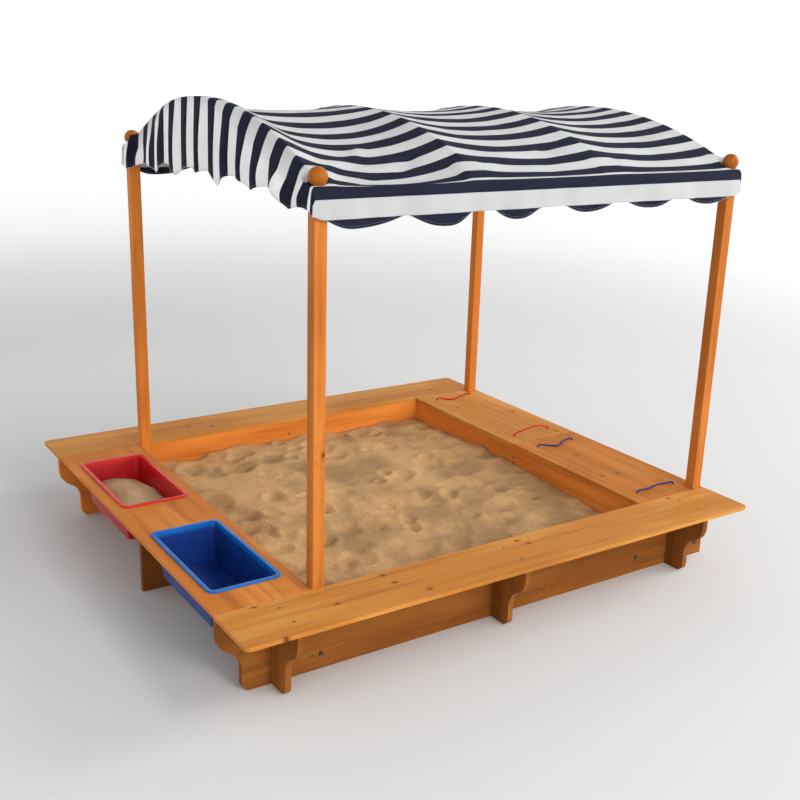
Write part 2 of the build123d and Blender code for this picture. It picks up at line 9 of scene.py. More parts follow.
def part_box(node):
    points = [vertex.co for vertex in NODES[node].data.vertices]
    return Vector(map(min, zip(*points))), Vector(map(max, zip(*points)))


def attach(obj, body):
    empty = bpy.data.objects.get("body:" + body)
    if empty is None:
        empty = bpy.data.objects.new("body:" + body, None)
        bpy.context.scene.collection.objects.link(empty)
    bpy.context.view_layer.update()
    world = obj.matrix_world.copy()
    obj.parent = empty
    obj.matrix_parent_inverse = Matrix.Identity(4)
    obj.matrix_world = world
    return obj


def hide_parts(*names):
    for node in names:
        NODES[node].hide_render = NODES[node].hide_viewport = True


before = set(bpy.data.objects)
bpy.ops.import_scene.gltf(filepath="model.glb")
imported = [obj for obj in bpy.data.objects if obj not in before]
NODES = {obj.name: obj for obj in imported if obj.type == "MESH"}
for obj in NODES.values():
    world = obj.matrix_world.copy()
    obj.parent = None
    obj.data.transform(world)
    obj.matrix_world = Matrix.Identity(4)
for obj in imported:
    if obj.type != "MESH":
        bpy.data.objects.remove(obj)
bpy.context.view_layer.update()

# Looks of a covered wooden sandbox: stained boards, a striped fabric cover on four bows,
# sand, two plastic tubs and braided rope handles. Metres, in the frame of the CAD model.


# ---------------------------------------------------------------- camera

LENS = 49.094
SENSOR = 36.0
CAMERA_PLACE = Vector((-2.0865, -3.2758, 1.7627))
CAMERA_AZIMUTH = math.radians(-33.644)
CAMERA_ELEVATION = math.radians(17.365)
CAMERA_ROLL = math.radians(1.763)


def make_camera():
    """A camera that looks at the sandbox from its front left."""
    level = math.cos(CAMERA_ELEVATION)
    back = Vector((math.sin(CAMERA_AZIMUTH) * level, -math.cos(CAMERA_AZIMUTH) * level,
                   math.sin(CAMERA_ELEVATION)))
    right = (-back).cross(Vector((0, 0, 1))).normalized()
    up = right.cross(-back)
    tilted_right = right * math.cos(CAMERA_ROLL) + up * math.sin(CAMERA_ROLL)
    tilted_up = up * math.cos(CAMERA_ROLL) - right * math.sin(CAMERA_ROLL)
    data = bpy.data.cameras.new("camera")
    data.lens, data.sensor_width = LENS, SENSOR
    data.clip_start, data.clip_end = 0.05, 100
    camera = bpy.data.objects.new("camera", data)
    bpy.context.scene.collection.objects.link(camera)
    turn = Matrix((tilted_right, tilted_up, back)).transposed()
    camera.matrix_world = Matrix.Translation(CAMERA_PLACE) @ turn.to_4x4()
    bpy.context.scene.camera = camera


make_camera()


# ---------------------------------------------------------------- node helpers


def fill(tree, node, inputs):
    """Sets a node's inputs to values, or links them to sockets."""
    for key, value in dict(inputs).items():
        if isinstance(value, bpy.types.NodeSocket):
            tree.links.new(value, node.inputs[key])
        else:
            node.inputs[key].default_value = value


def add(tree, kind, inputs=(), **settings):
    """A new shader node with its settings and its inputs."""
    node = tree.nodes.new("ShaderNode" + kind)
    for name, value in settings.items():
        setattr(node, name, value)
    fill(tree, node, inputs)
    return node


def calc(tree, operation, *values):
    """The result of a Math node."""
    return add(tree, "Math", enumerate(values), operation=operation).outputs[0]


def plus(tree, a, b):
    return calc(tree, "ADD", a, b)


def minus(tree, a, b):
    return calc(tree, "SUBTRACT", a, b)


def times(tree, a, b):
    return calc(tree, "MULTIPLY", a, b)


def hypotenuse(tree, a, b):
    squares = plus(tree, times(tree, a, a), times(tree, b, b))
    return calc(tree, "SQRT", squares)


def rgba(color):
    """A colour as a shader input takes it. A socket stays as it is."""
    return color if isinstance(color, bpy.types.NodeSocket) else (*color, 1.0)


def blend_colors(tree, share, first, second):
    inputs = {0: share, 6: rgba(first), 7: rgba(second)}
    return add(tree, "Mix", inputs, data_type="RGBA").outputs[2]


def remap(tree, value, low, high, to_low=0.0, to_high=1.0):
    """A smooth step of value from low to high."""
    inputs = {0: value, 1: low, 2: high, 3: to_low, 4: to_high}
    return add(tree, "MapRange", inputs, interpolation_type="SMOOTHSTEP").outputs[0]


def stretch(tree, vector, scale, shift=(0.0, 0.0, 0.0)):
    """A vector with each part scaled, then shifted."""
    return add(tree, "Mapping", {0: vector, 1: shift, 3: scale}).outputs[0]


def speckle(tree, vector, scale, detail=2.0, roughness=0.5):
    """Noise from 0 to 1."""
    inputs = {"Vector": vector, "Scale": scale, "Detail": detail, "Roughness": roughness}
    return add(tree, "TexNoise", inputs).outputs[0]


def new_material(name):
    """A material with a Principled shader, as (material, tree, shader)."""
    material = bpy.data.materials.new(name)
    material.use_nodes = True
    tree = material.node_tree
    return material, tree, tree.nodes["Principled BSDF"]


def bump(tree, height, distance, normal=None):
    inputs = {"Height": height, "Distance": distance, "Strength": 1.0}
    if normal is not None:
        inputs["Normal"] = normal
    return add(tree, "Bump", inputs).outputs[0]


def object_place(tree):
    return add(tree, "TexCoord").outputs["Object"]


def middle(node):
    low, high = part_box(node)
    return (low + high) / 2


def paint(node, material):
    slots = NODES[node].data.materials
    if slots:
        slots[0] = material
    else:
        slots.append(material)


# ---------------------------------------------------------------- wood

GRAIN_ORDER = {"X": "XYZ", "Y": "YXZ", "Z": "ZXY"}
RING_SPACING = 0.0075
RING_WANDER = 0.055
KNOT_CELL = 0.30
KNOT_SHARE = 0.12
KNOT_SQUASH = 0.7
KNOT_R = 0.0045
KNOT_REACH = 0.045
EDGE_ROUNDING = 0.0014

# Stain tones, each as (light, dark, deep); some are copies of one stain made darker or paler as
# painted shade and painted light.
HONEY = ((0.65, 0.300, 0.068), (0.47, 0.165, 0.025), (0.23, 0.062, 0.009))
# Partly painted light: the orange rail stain, made about a third paler for the back rail, walls and
# other parts the cover shades.
LIT_ORANGE = ((0.80, 0.268, 0.047), (0.57, 0.160, 0.023), (0.30, 0.066, 0.009))
# Painted shade: a much darker copy of the rail stain, for the front rail, outer wall, support and
# brackets that sit under the seats.
PAINTED_SHADE_BROWN = ((0.30, 0.106, 0.021), (0.18, 0.056, 0.009), (0.085, 0.024, 0.004))
TAN = ((0.58, 0.205, 0.033), (0.41, 0.122, 0.015), (0.21, 0.052, 0.007))
BENCH = ((0.70, 0.255, 0.050), (0.51, 0.152, 0.022), (0.25, 0.062, 0.009))
# Painted shade: the post stain made darker for the front posts and front canopy rail.
SHADED_FRONT_POST = ((0.56, 0.185, 0.034), (0.38, 0.106, 0.016), (0.20, 0.046, 0.007))
# Painted light: the same post stain made paler for the back posts and back canopy rail, which the
# cover shades.
LIT_BACK_POST = ((0.74, 0.245, 0.038), (0.53, 0.150, 0.020), (0.29, 0.068, 0.009))


def grain_place(tree, grain, seed):
    """(along, across, through) of the board, and the same as a vector, shifted by the seed."""
    parts = add(tree, "SeparateXYZ", {0: object_place(tree)})
    order = [parts.outputs["XYZ".index(axis)] for axis in GRAIN_ORDER[grain]]
    vector = add(tree, "CombineXYZ", enumerate(order)).outputs[0]
    shift = (seed * 1.731 % 5, seed * 0.917 % 3, seed * 0.613 % 2)
    return order, stretch(tree, vector, (1.0, 1.0, 1.0), shift)


def ring_lines(tree, order, place, pith, bend):
    """Growth rings: 0 in the pale early wood, 1 in the dark late wood."""
    warp = speckle(tree, stretch(tree, place, (0.9, 4.0, 4.0)), 1.0, 2.0)
    across = minus(tree, order[1], pith[0])
    through = minus(tree, order[2], pith[1])
    radius = plus(tree, hypotenuse(tree, across, through), times(tree, warp, RING_WANDER))
    phase = calc(tree, "FRACT", calc(tree, "DIVIDE", plus(tree, radius, bend), RING_SPACING))
    rise = remap(tree, phase, 0.25, 0.9)
    fall = remap(tree, phase, 0.9, 1.0, 1.0, 0.0)
    return times(tree, rise, fall)


def knot_distance(tree, along, across, place, knots):
    """Metres to the nearest knot, random or placed, seen along the board's thickness."""
    flat = stretch(tree, place, (KNOT_SQUASH / KNOT_CELL, 1.3 / KNOT_CELL, 0.0))
    cells = add(tree, "TexVoronoi", {"Vector": flat, "Scale": 1.0}, voronoi_dimensions="2D")
    chosen = add(tree, "SeparateColor", {0: cells.outputs["Color"]}).outputs[0]
    absent = times(tree, calc(tree, "LESS_THAN", chosen, 1 - KNOT_SHARE), 0.2)
    nearest = plus(tree, times(tree, cells.outputs["Distance"], 0.28), absent)
    for knot_along, knot_across in knots:
        run = times(tree, minus(tree, along, knot_along), KNOT_SQUASH)
        side = minus(tree, across, knot_across)
        nearest = calc(tree, "MINIMUM", nearest, hypotenuse(tree, run, side))
    return nearest


def pith_of(node, grain, seed):
    """The heart of the tree, to one side of the board and beneath it."""
    centre = [middle(node)["XYZ".index(axis)] for axis in GRAIN_ORDER[grain]]
    return centre[1] + 0.05 * math.sin(seed * 2.1), centre[2] - 0.07 - 0.03 * math.cos(seed * 1.3)


def wood(name, node, grain, tone, seed, knots=(), gloss=0.50):
    """Stained softwood with growth rings, fibres, knots, paler rounded edges and darker end grain."""
    material, tree, shader = new_material(name)
    order, place = grain_place(tree, grain, seed)
    along, across = order[:2]
    far = knot_distance(tree, along, across, place, knots)
    bend = times(tree, remap(tree, far, 0.0, KNOT_REACH, 1.0, 0.0), 0.016)
    rings = ring_lines(tree, order, place, pith_of(node, grain, seed), bend)
    fibres = speckle(tree, stretch(tree, place, (7.0, 420.0, 420.0)), 1.0, 3.0, 0.6)
    streaks = speckle(tree, stretch(tree, place, (1.3, 38.0, 38.0)), 1.0, 3.0, 0.55)
    stain = speckle(tree, stretch(tree, place, (1.5, 6.0, 6.0)), 1.0, 2.0)
    light, dark, deep = tone
    color = blend_colors(tree, remap(tree, stain, 0.38, 0.62, 0.0, 0.75), light, dark)
    color = blend_colors(tree, times(tree, rings, 0.36), color, dark)
    color = blend_colors(tree, remap(tree, streaks, 0.50, 0.74, 0.0, 0.44), color, deep)
    color = blend_colors(tree, remap(tree, fibres, 0.54, 0.78, 0.0, 0.42), color, deep)
    color = blend_colors(tree, remap(tree, fibres, 0.42, 0.22, 0.0, 0.22), color, light)
    halo = remap(tree, far, 0.015, 0.003, 0.0, 0.55)
    color = blend_colors(tree, halo, color, deep)
    heart = remap(tree, far, KNOT_R + 0.0007, KNOT_R - 0.0007, 0.0, 0.80)
    color = blend_colors(tree, heart, color, [0.5 * part for part in deep])
    soft = add(tree, "Bevel", {"Radius": EDGE_ROUNDING}, samples=4).outputs[0]
    plain = add(tree, "NewGeometry").outputs["Normal"]
    same = add(tree, "VectorMath", {0: soft, 1: plain}, operation="DOT_PRODUCT").outputs["Value"]
    # The rounded edges are painted paler.
    paler_share = remap(tree, same, 0.995, 0.93, 0.0, 0.30)
    color = blend_colors(tree, paler_share, color, [min(1.0, 1.12 * part + 0.02) for part in light])
    parts = add(tree, "SeparateXYZ", {0: plain}).outputs["XYZ".index(grain)]
    end = remap(tree, calc(tree, "ABSOLUTE", parts), 0.85, 0.98, 0.0, 0.55)
    color = blend_colors(tree, end, color, dark)
    rough = plus(tree, times(tree, fibres, 0.16), gloss - 0.05)
    lift = minus(tree, times(tree, fibres, 0.8), times(tree, rings, 0.25))
    fill(tree, shader, {"Base Color": color, "Roughness": rough, "Specular IOR Level": 0.06,
                        "Normal": bump(tree, lift, 0.00025, soft)})
    return material


WOOD_PLAN = {
    "front_seat_board": ("X", HONEY), "back_seat_board": ("X", HONEY),
    "tub_bench_board": ("Y", BENCH), "front_rail": ("X", PAINTED_SHADE_BROWN), "back_rail": ("X", LIT_ORANGE),
    "tub_bench_wall": ("Y", LIT_ORANGE), "storage_inner_wall": ("Y", LIT_ORANGE),
    "storage_outer_wall": ("Y", PAINTED_SHADE_BROWN), "tub_bench_support": ("X", PAINTED_SHADE_BROWN),
    "storage_divider": ("X", LIT_ORANGE), "storage_floor": ("Y", LIT_ORANGE),
    "corner_blocks": ("Z", LIT_ORANGE), "canopy_rail_front": ("X", SHADED_FRONT_POST),
    "canopy_rail_back": ("X", LIT_BACK_POST),
}
for end in ("front", "back"):
    for place in ("left", "middle", "right"):
        WOOD_PLAN[f"{end}_bracket_{place}"] = ("Z", PAINTED_SHADE_BROWN)
    for place in ("left", "right"):
        WOOD_PLAN[f"{end}_{place}_post"] = ("Z", SHADED_FRONT_POST if end == "front" else LIT_BACK_POST)
    for part in ("inner_plank", "outer_plank"):
        WOOD_PLAN[f"{end}_lid_{part}"] = ("Y", TAN if end == "front" else HONEY)
    WOOD_PLAN[f"{end}_lid_battens"] = ("X", LIT_ORANGE)

# Knots that show, as (along the grain, across it).
FRONT_LID_KNOTS = [(-0.003, 0.916), (-0.450, 0.737), (-0.461, 0.806), (-0.228, 0.804)]
BACK_LID_KNOTS = [(0.044, 0.930), (0.343, 0.932), (0.515, 0.751)]
KNOTS = {
    "front_seat_board": [(-0.873, -0.935), (-0.447, -0.747), (-0.440, -0.804), (-0.371, -0.891),
                         (-0.656, -0.835), (0.072, -0.753), (0.094, -0.785)],
    "back_seat_board": [(0.80, 0.80), (-0.42, 0.83), (-0.33, 0.79)],
    "front_lid_inner_plank": FRONT_LID_KNOTS, "front_lid_outer_plank": FRONT_LID_KNOTS,
    "back_lid_inner_plank": BACK_LID_KNOTS, "back_lid_outer_plank": BACK_LID_KNOTS,
    "front_left_post": [(0.675, -0.643)], "back_left_post": [(0.31, -0.930)],
}


def finish_wood():
    for seed, (node, (grain, tone)) in enumerate(WOOD_PLAN.items(), 1):
        paint(node, wood(f"wood_{node}", node, grain, tone, seed, KNOTS.get(node, ())))


def ball_wood():
    """Turned, glossy ball tops."""
    tone = ((0.40, 0.125, 0.010), (0.30, 0.080, 0.006), (0.18, 0.04, 0.003))
    for seed, corner in enumerate(("front_left", "front_right", "back_left", "back_right")):
        node = f"{corner}_finial"
        material = wood(f"wood_{node}", node, "Z", tone, 31 + seed, gloss=0.30)
        tree = material.node_tree
        fill(tree, tree.nodes["Principled BSDF"], {"Coat Weight": 0.15, "Coat Roughness": 0.12})
        paint(node, material)


finish_wood()
ball_wood()


# ---------------------------------------------------------------- metal and plastic


def metal(name, color, rough, tarnish):
    """Plated steel with dull patches and fine scratches."""
    material, tree, shader = new_material(name)
    place = object_place(tree)
    patches = speckle(tree, place, 160.0, 4.0, 0.6)
    color = blend_colors(tree, remap(tree, patches, 0.4, 0.7), color, tarnish)
    scratches = speckle(tree, stretch(tree, place, (2200.0, 300.0, 300.0)), 1.0, 2.0)
    shine = plus(tree, times(tree, patches, 0.25), rough)
    fill(tree, shader, {"Base Color": color, "Roughness": shine, "Metallic": 1.0,
                        "Normal": bump(tree, scratches, 0.00008)})
    return material


TUB_RIM_Z = 0.259


def plastic(name, color, shade, rough=0.22, rim=None):
    """Injection-moulded plastic with faint flow marks and scuffs; given a rim colour, its top 20 mm is
    painted paler than the darker body, as painted light and shade.
    """
    material, tree, shader = new_material(name)
    place = object_place(tree)
    flow = speckle(tree, place, 9.0, 3.0)
    scuffs = speckle(tree, stretch(tree, place, (60.0, 900.0, 200.0)), 1.0, 2.0, 0.65)
    color = blend_colors(tree, remap(tree, flow, 0.35, 0.7), color, shade)
    if rim:
        # Painted shade and light: below the rim the tub keeps a darker colour that stands for the
        # shade inside it, and the rim is painted paler.
        height = add(tree, "SeparateXYZ", {0: place}).outputs[2]
        color = blend_colors(tree, remap(tree, height, TUB_RIM_Z - 0.020, TUB_RIM_Z), color, rim)
    shine = plus(tree, remap(tree, scuffs, 0.55, 0.8, 0.0, 0.08), rough)
    ripple = plus(tree, speckle(tree, place, 45.0, 2.0), times(tree, scuffs, 0.015))
    soft = add(tree, "Bevel", {"Radius": 0.0012}, samples=4).outputs[0]
    fill(tree, shader, {"Base Color": color, "Roughness": shine, "Specular IOR Level": 0.22,
                        "Normal": bump(tree, ripple, 0.0008, soft)})
    return material


def finish_hard_parts():
    screws = metal("aged_screws", (0.20, 0.16, 0.10), 0.34, (0.08, 0.06, 0.035))
    for node in ("seat_screws", "rail_bolts", "wall_screws", "bracket_screws", "canopy_screws",
                 "front_lid_screws", "back_lid_screws"):
        paint(node, screws)
    zinc = metal("bow_zinc", (0.62, 0.63, 0.65), 0.28, (0.46, 0.47, 0.49))
    for i in range(1, 5):
        paint(f"canopy_bow_{i}", zinc)
    black = plastic("saddle_black", (0.018, 0.018, 0.020), (0.028, 0.028, 0.030), 0.5)
    paint("bow_saddles", black)
    # Painted shade and light: each tub's colour is the darker shaded colour of its inside, its rim
    # colour the paler lit one.
    blue = plastic("tub_blue", (0.008, 0.036, 0.210), (0.006, 0.028, 0.170), rim=(0.002, 0.115, 0.430))
    paint("blue_tub", blue)
    red = plastic("tub_red", (0.42, 0.006, 0.009), (0.34, 0.005, 0.007), rim=(0.58, 0.009, 0.010))
    paint("red_tub", red)


def woven_ground():
    """Black woven landscape fabric under the sand."""
    material, tree, shader = new_material("ground_weave")
    place = object_place(tree)
    warp = add(tree, "TexWave", {"Vector": place, "Scale": 190.0}, bands_direction="X").outputs[1]
    weft = add(tree, "TexWave", {"Vector": place, "Scale": 190.0}, bands_direction="Y").outputs[1]
    weave = calc(tree, "MAXIMUM", warp, weft)
    color = blend_colors(tree, weave, (0.010, 0.010, 0.011), (0.035, 0.035, 0.037))
    fill(tree, shader, {"Base Color": color, "Roughness": 0.75, "Normal": bump(tree, weave, 0.0003)})
    paint("ground_sheet", material)


finish_hard_parts()
woven_ground()


# ---------------------------------------------------------------- mesh helpers


def new_piece(name, vertices, faces, material, body):
    """A smooth mesh piece that rides on a body."""
    mesh = bpy.data.meshes.new(name)
    mesh.from_pydata([tuple(v) for v in vertices], [], faces)
    mesh.update()
    mesh.polygons.foreach_set("use_smooth", [True] * len(mesh.polygons))
    mesh.materials.append(material)
    piece = bpy.data.objects.new(name, mesh)
    bpy.context.scene.collection.objects.link(piece)
    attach(piece, body)
    return piece


def tube_mesh(centres, radius_at, sides, closed=False):
    """Vertices and faces of a tube; radius_at(distance along, angle round) is its radius."""
    centres = [Vector(c) for c in centres]
    count = len(centres)
    vertices, faces, run = [], [], 0.0
    side_way = None
    for i, centre in enumerate(centres):
        before = centres[i - 1] if i or closed else centre
        after = centres[(i + 1) % count] if i < count - 1 or closed else centre
        along = (after - before).normalized()
        if side_way is None:
            side_way = along.orthogonal()
        side_way = (side_way - along * side_way.dot(along)).normalized()
        other = along.cross(side_way)
        if i:
            run += (centre - centres[i - 1]).length
        for j in range(sides):
            angle = 2 * math.pi * j / sides
            radius = radius_at(run, angle)
            ray = side_way * math.cos(angle) + other * math.sin(angle)
            vertices.append(centre + ray * radius)
    for i in range(count if closed else count - 1):
        for j in range(sides):
            a, b = i * sides + j, i * sides + (j + 1) % sides
            c, d = (b + sides) % (count * sides), (a + sides) % (count * sides)
            faces.append((a, b, c, d))
    if not closed:
        faces.append(tuple(range(sides))[::-1])
        faces.append(tuple(range((count - 1) * sides, count * sides)))
    return vertices, faces


# ---------------------------------------------------------------- rope handles

ROPE_D = 0.006
ROPE_SPAN = 0.190
ROPE_START_X = 0.727
ROPE_LOW_Z = 0.2455
LID_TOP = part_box("front_lid_inner_plank")[1].z
PLAIT_LENGTH = 0.016
PLAIT_STRANDS = 4

# (along the handle, across it, above the lid)
ROPE_ROUTES = {
    ("back", "outer"): [(0, 0, 0.009), (0.022, 0.003, 0.008), (0.042, -0.014, 0.0036),
                        (0.064, -0.030, 0.0034), (0.092, -0.026, 0.0034), (0.118, -0.008, 0.0034),
                        (0.144, -0.002, 0.0044), (0.168, 0.002, 0.0075), (0.190, 0, 0.009)],
    ("back", "inner"): [(0, 0, 0.009), (0.022, 0.003, 0.012), (0.050, 0.001, 0.017),
                        (0.082, -0.003, 0.024), (0.116, -0.002, 0.027), (0.146, 0.002, 0.023),
                        (0.169, 0.003, 0.015), (0.190, 0, 0.009)],
    ("front", "inner"): [(0, 0, 0.009), (0.022, 0.003, 0.007), (0.046, -0.014, 0.0035),
                         (0.072, -0.033, 0.0034), (0.098, -0.029, 0.0034), (0.122, -0.009, 0.0034),
                         (0.144, 0.002, 0.0042), (0.168, 0.003, 0.008), (0.190, 0, 0.009)],
    ("front", "outer"): [(0, 0, 0.009), (0.022, 0.001, 0.0075), (0.044, 0.007, 0.0038),
                         (0.072, 0.005, 0.0034), (0.102, 0.016, 0.0034), (0.132, 0.018, 0.0036),
                         (0.156, 0.010, 0.0055), (0.172, 0.004, 0.008), (0.190, 0, 0.009)],
}
ROPE_Y = {("front", "outer"): -0.6445, ("front", "inner"): -0.0775,
          ("back", "inner"): 0.0775, ("back", "outer"): 0.6445}


def route_line(points):
    """Points along the smooth NURBS curve that has the route's points as its controls."""
    data = bpy.data.curves.new("route", "CURVE")
    data.dimensions = "3D"
    data.resolution_u = 16
    spline = data.splines.new("NURBS")
    spline.points.add(len(points) - 1)
    for control, point in zip(spline.points, points):
        control.co = (*point, 1.0)
    spline.order_u = 3
    spline.use_endpoint_u = True
    curve = bpy.data.objects.new("route", data)
    mesh = bpy.data.meshes.new_from_object(curve)
    line = [v.co.copy() for v in mesh.vertices]
    bpy.data.objects.remove(curve)
    bpy.data.meshes.remove(mesh)
    return line


def plait_radius(run, angle):
    """Strands that wind both ways round the rope and cross over each other."""
    turn = 2 * math.pi * run / PLAIT_LENGTH
    one = abs(math.cos(PLAIT_STRANDS / 2 * (angle + turn)))
    two = abs(math.cos(PLAIT_STRANDS / 2 * (angle - turn)))
    return ROPE_D / 2 * (0.84 + 0.18 * max(one, two) ** 1.5)


def rope_material(name, color, shade):
    """Braided polyester: bright strands, dark gaps, soft fuzz."""
    material, tree, shader = new_material(name)
    place = object_place(tree)
    fibres = speckle(tree, place, 1400.0, 2.0, 0.6)
    # Paler patches here and there on the rope.
    paler_share = remap(tree, speckle(tree, place, 60.0), 0.6, 0.8, 0.0, 0.25)
    pale = [min(1.0, 1.6 * part + 0.03) for part in color]
    mixed = blend_colors(tree, fibres, shade, color)
    mixed = blend_colors(tree, paler_share, mixed, pale)
    fill(tree, shader, {"Base Color": mixed, "Roughness": 0.62, "Specular IOR Level": 0.15,
                        "Normal": bump(tree, fibres, 0.0002)})
    return material


def resample(line, step, closed=False):
    """Points at an even spacing along a line."""
    points = np.array([tuple(p) for p in line])
    if closed:
        points = np.vstack([points, points[:1]])
    run = np.concatenate([[0], np.cumsum(np.linalg.norm(np.diff(points, axis=0), axis=1))])
    count = max(2, round(run[-1] / step))
    places = np.linspace(0, run[-1], count + 1)[:count + (not closed)]
    return [Vector([np.interp(at, run, points[:, k]) for k in range(3)]) for at in places]


KNOT_SCALE = 0.0015
KNOT_RISE = 0.0028
KNOT_Z = 0.2395


def knot_centres(x, y):
    """A tight overhand knot below the lid."""
    points = []
    for i in range(90):
        t = 2 * math.pi * i / 90
        points.append(Vector((x + KNOT_SCALE * (math.sin(t) + 2 * math.sin(2 * t)),
                              y + KNOT_SCALE * (math.cos(t) - 2 * math.cos(2 * t)),
                              KNOT_Z - KNOT_RISE * math.sin(3 * t))))
    return points


def knot_pair(name, y, material, body):
    """The knots at a rope's two ends, as one piece."""
    vertices, faces = [], []
    for x in (ROPE_START_X, ROPE_START_X + ROPE_SPAN):
        more, more_faces = tube_mesh(knot_centres(x, y), plait_radius, 12, closed=True)
        faces += [tuple(i + len(vertices) for i in face) for face in more_faces]
        vertices += more
    return new_piece(name, vertices, faces, material, body)


def rope_handles():
    colors = {"front": rope_material("rope_blue", (0.008, 0.034, 0.260), (0.003, 0.012, 0.100)),
              "back": rope_material("rope_red", (0.66, 0.008, 0.010), (0.30, 0.004, 0.004))}
    for (end, place), route in ROPE_ROUTES.items():
        y = ROPE_Y[end, place]
        start = Vector((ROPE_START_X, y, ROPE_LOW_Z))
        stop = start + Vector((ROPE_SPAN, 0, 0))
        over = [Vector((ROPE_START_X + a, y + b, LID_TOP + c)) for a, b, c in route]
        line = resample(route_line([start, *over, stop]), 0.0009)
        vertices, faces = tube_mesh(line, plait_radius, 24)
        body = f"{end}_lid"
        rope = new_piece(f"{end}_{place}_rope", vertices, faces, colors[end], body)
        knots = knot_pair(f"{end}_{place}_knots", y, colors[end], body)
        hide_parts(f"{end}_lid_rope_{place}")
        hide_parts(f"{end}_lid_knots_{place}")


rope_handles()


# ---------------------------------------------------------------- fabric cover

COVER_LOW, COVER_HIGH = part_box("canopy_cover")
BOWS = [middle(f"canopy_bow_{i}").x for i in range(1, 5)]
BALLS = [middle(f"{corner}_finial") for corner in ("front_left", "front_right",
                                                     "back_left", "back_right")]
POST_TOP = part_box("front_left_post")[1].z
EAVE_Z = 1.431
HALF = COVER_HIGH.y
RISE = COVER_HIGH.z - EAVE_Z
COVER_R = (HALF ** 2 + RISE ** 2) / (2 * RISE)
ARC_Z = COVER_HIGH.z - COVER_R
CLOTH_R = COVER_R - 0.0010
HALF_ANGLE = math.asin(HALF / CLOTH_R)
ARC = 2 * HALF_ANGLE * CLOTH_R
CLOTH_T = 0.0012
SAG_CROWN = (0.016, 0.021, 0.022)
SAG_FLANK = (0.052, 0.031, 0.028)
SAG_EDGE = (12, 6, 6)
PUFF = 0.026
SADDLE_HALF, SADDLE_Y = 0.026, (0.62, 0.668)
POST_CLEAR = 0.0018
BALL_REACH = 0.11
RAIL_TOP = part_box("canopy_rail_front")[1].z
RAIL_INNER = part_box("canopy_rail_back")[0].y
RAIL_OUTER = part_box("canopy_rail_back")[1].y
SKIRT_ROWS = 18
HEM_FOLD = 0.011
STITCH_ABOVE_HEM = 0.0075
STRIPE = 0.053
FIRST_STRIPE = 0.0072
EDGE_NAVY, EDGE_WHITE = 0.009, 0.011
EAVE_NAVY, HANGING_WHITE_END = 0.030, 0.084
THREAD_PITCH = 0.0011

# Hems of the two ends from front to back, as (y, z, kind).
LEFT_HEM = [(-0.730, 1.360, "tip"), (-0.690, 1.377, "top"), (-0.610, 1.362, "tip"),
            (-0.470, 1.407, "top"), (-0.385, 1.388, "tip"), (-0.245, 1.415, "top"),
            (-0.135, 1.374, "tip"), (-0.057, 1.411, "top"), (0.015, 1.398, "tip"),
            (0.085, 1.409, "top"), (0.194, 1.372, "tip"), (0.293, 1.402, "top"),
            (0.384, 1.363, "tip"), (0.525, 1.380, "top"), (0.668, 1.346, "tip"),
            (0.730, 1.358, "top")]
RIGHT_HEM = [(-0.730, 1.358, "tip"), (-0.640, 1.377, "top"), (-0.520, 1.360, "tip"),
             (-0.400, 1.399, "top"), (-0.280, 1.377, "tip"), (-0.170, 1.409, "top"),
             (-0.060, 1.383, "tip"), (0.050, 1.413, "top"), (0.160, 1.381, "tip"),
             (0.270, 1.404, "top"), (0.400, 1.368, "tip"), (0.520, 1.388, "top"),
             (0.640, 1.360, "tip"), (0.730, 1.358, "top")]
# Scallops of the long sides, as (start x, lowest x, end x, lowest z).
LOBES = [(-0.650, -0.560, -0.396, 1.318), (-0.380, -0.248, -0.160, 1.309),
         (-0.078, 0.005, 0.096, 1.316), (0.199, 0.285, 0.388, 1.323),
         (0.458, 0.562, 0.652, 1.324), (0.732, 0.836, 0.930, 1.324)]
SIDE_HEM_Z = 1.346


def ease(value, low, high):
    """0 below low, 1 above high, smooth between."""
    share = min(1.0, max(0.0, (value - low) / (high - low)))
    return share * share * (3 - 2 * share)


def gap_to_bow(x):
    return min(abs(x - bow) for bow in BOWS)


def soft_min(a, b, reach):
    """The lower of two heights, with a rounded change from one to the other."""
    h = max(reach - abs(a - b), 0.0) / reach
    return min(a, b) - h * h * reach / 4


def span_of(x):
    """How far x is between its two bows, from 0 to 1, with that span's crown, flank and edge."""
    for low, high, crown, flank, edge in zip(BOWS, BOWS[1:], SAG_CROWN, SAG_FLANK, SAG_EDGE):
        if low <= x <= high:
            return (x - low) / (high - low), crown, flank, edge
    return 0.0, SAG_CROWN[0], SAG_FLANK[0], SAG_EDGE[0]


# Folds in the cover, as ([(x, s), ...], half width, height).
FOLDS = [
    ([(-0.60, 0.10), (-0.52, 0.20), (-0.44, 0.24), (-0.37, 0.32)], 0.024, 0.007),
    ([(-0.50, 0.06), (-0.42, 0.13), (-0.33, 0.15), (-0.25, 0.22)], 0.024, -0.007),
    ([(-0.08, 0.05), (0.02, 0.16), (0.10, 0.20), (0.22, 0.22)], 0.030, 0.004),
    ([(0.40, 0.30), (0.28, 0.22), (0.20, 0.10), (0.16, 0.03)], 0.030, -0.003),
    ([(0.50, 0.06), (0.58, 0.18), (0.70, 0.25), (0.84, 0.24)], 0.032, 0.003),
    ([(-0.62, 1.30), (-0.50, 1.24), (-0.38, 1.12), (-0.24, 1.08)], 0.026, 0.005),
    ([(0.90, 1.38), (0.76, 1.30), (0.62, 1.20), (0.50, 1.18)], 0.028, 0.004),
    ([(0.00, 1.40), (0.08, 1.28), (0.20, 1.22), (0.34, 1.24)], 0.028, -0.004),
]


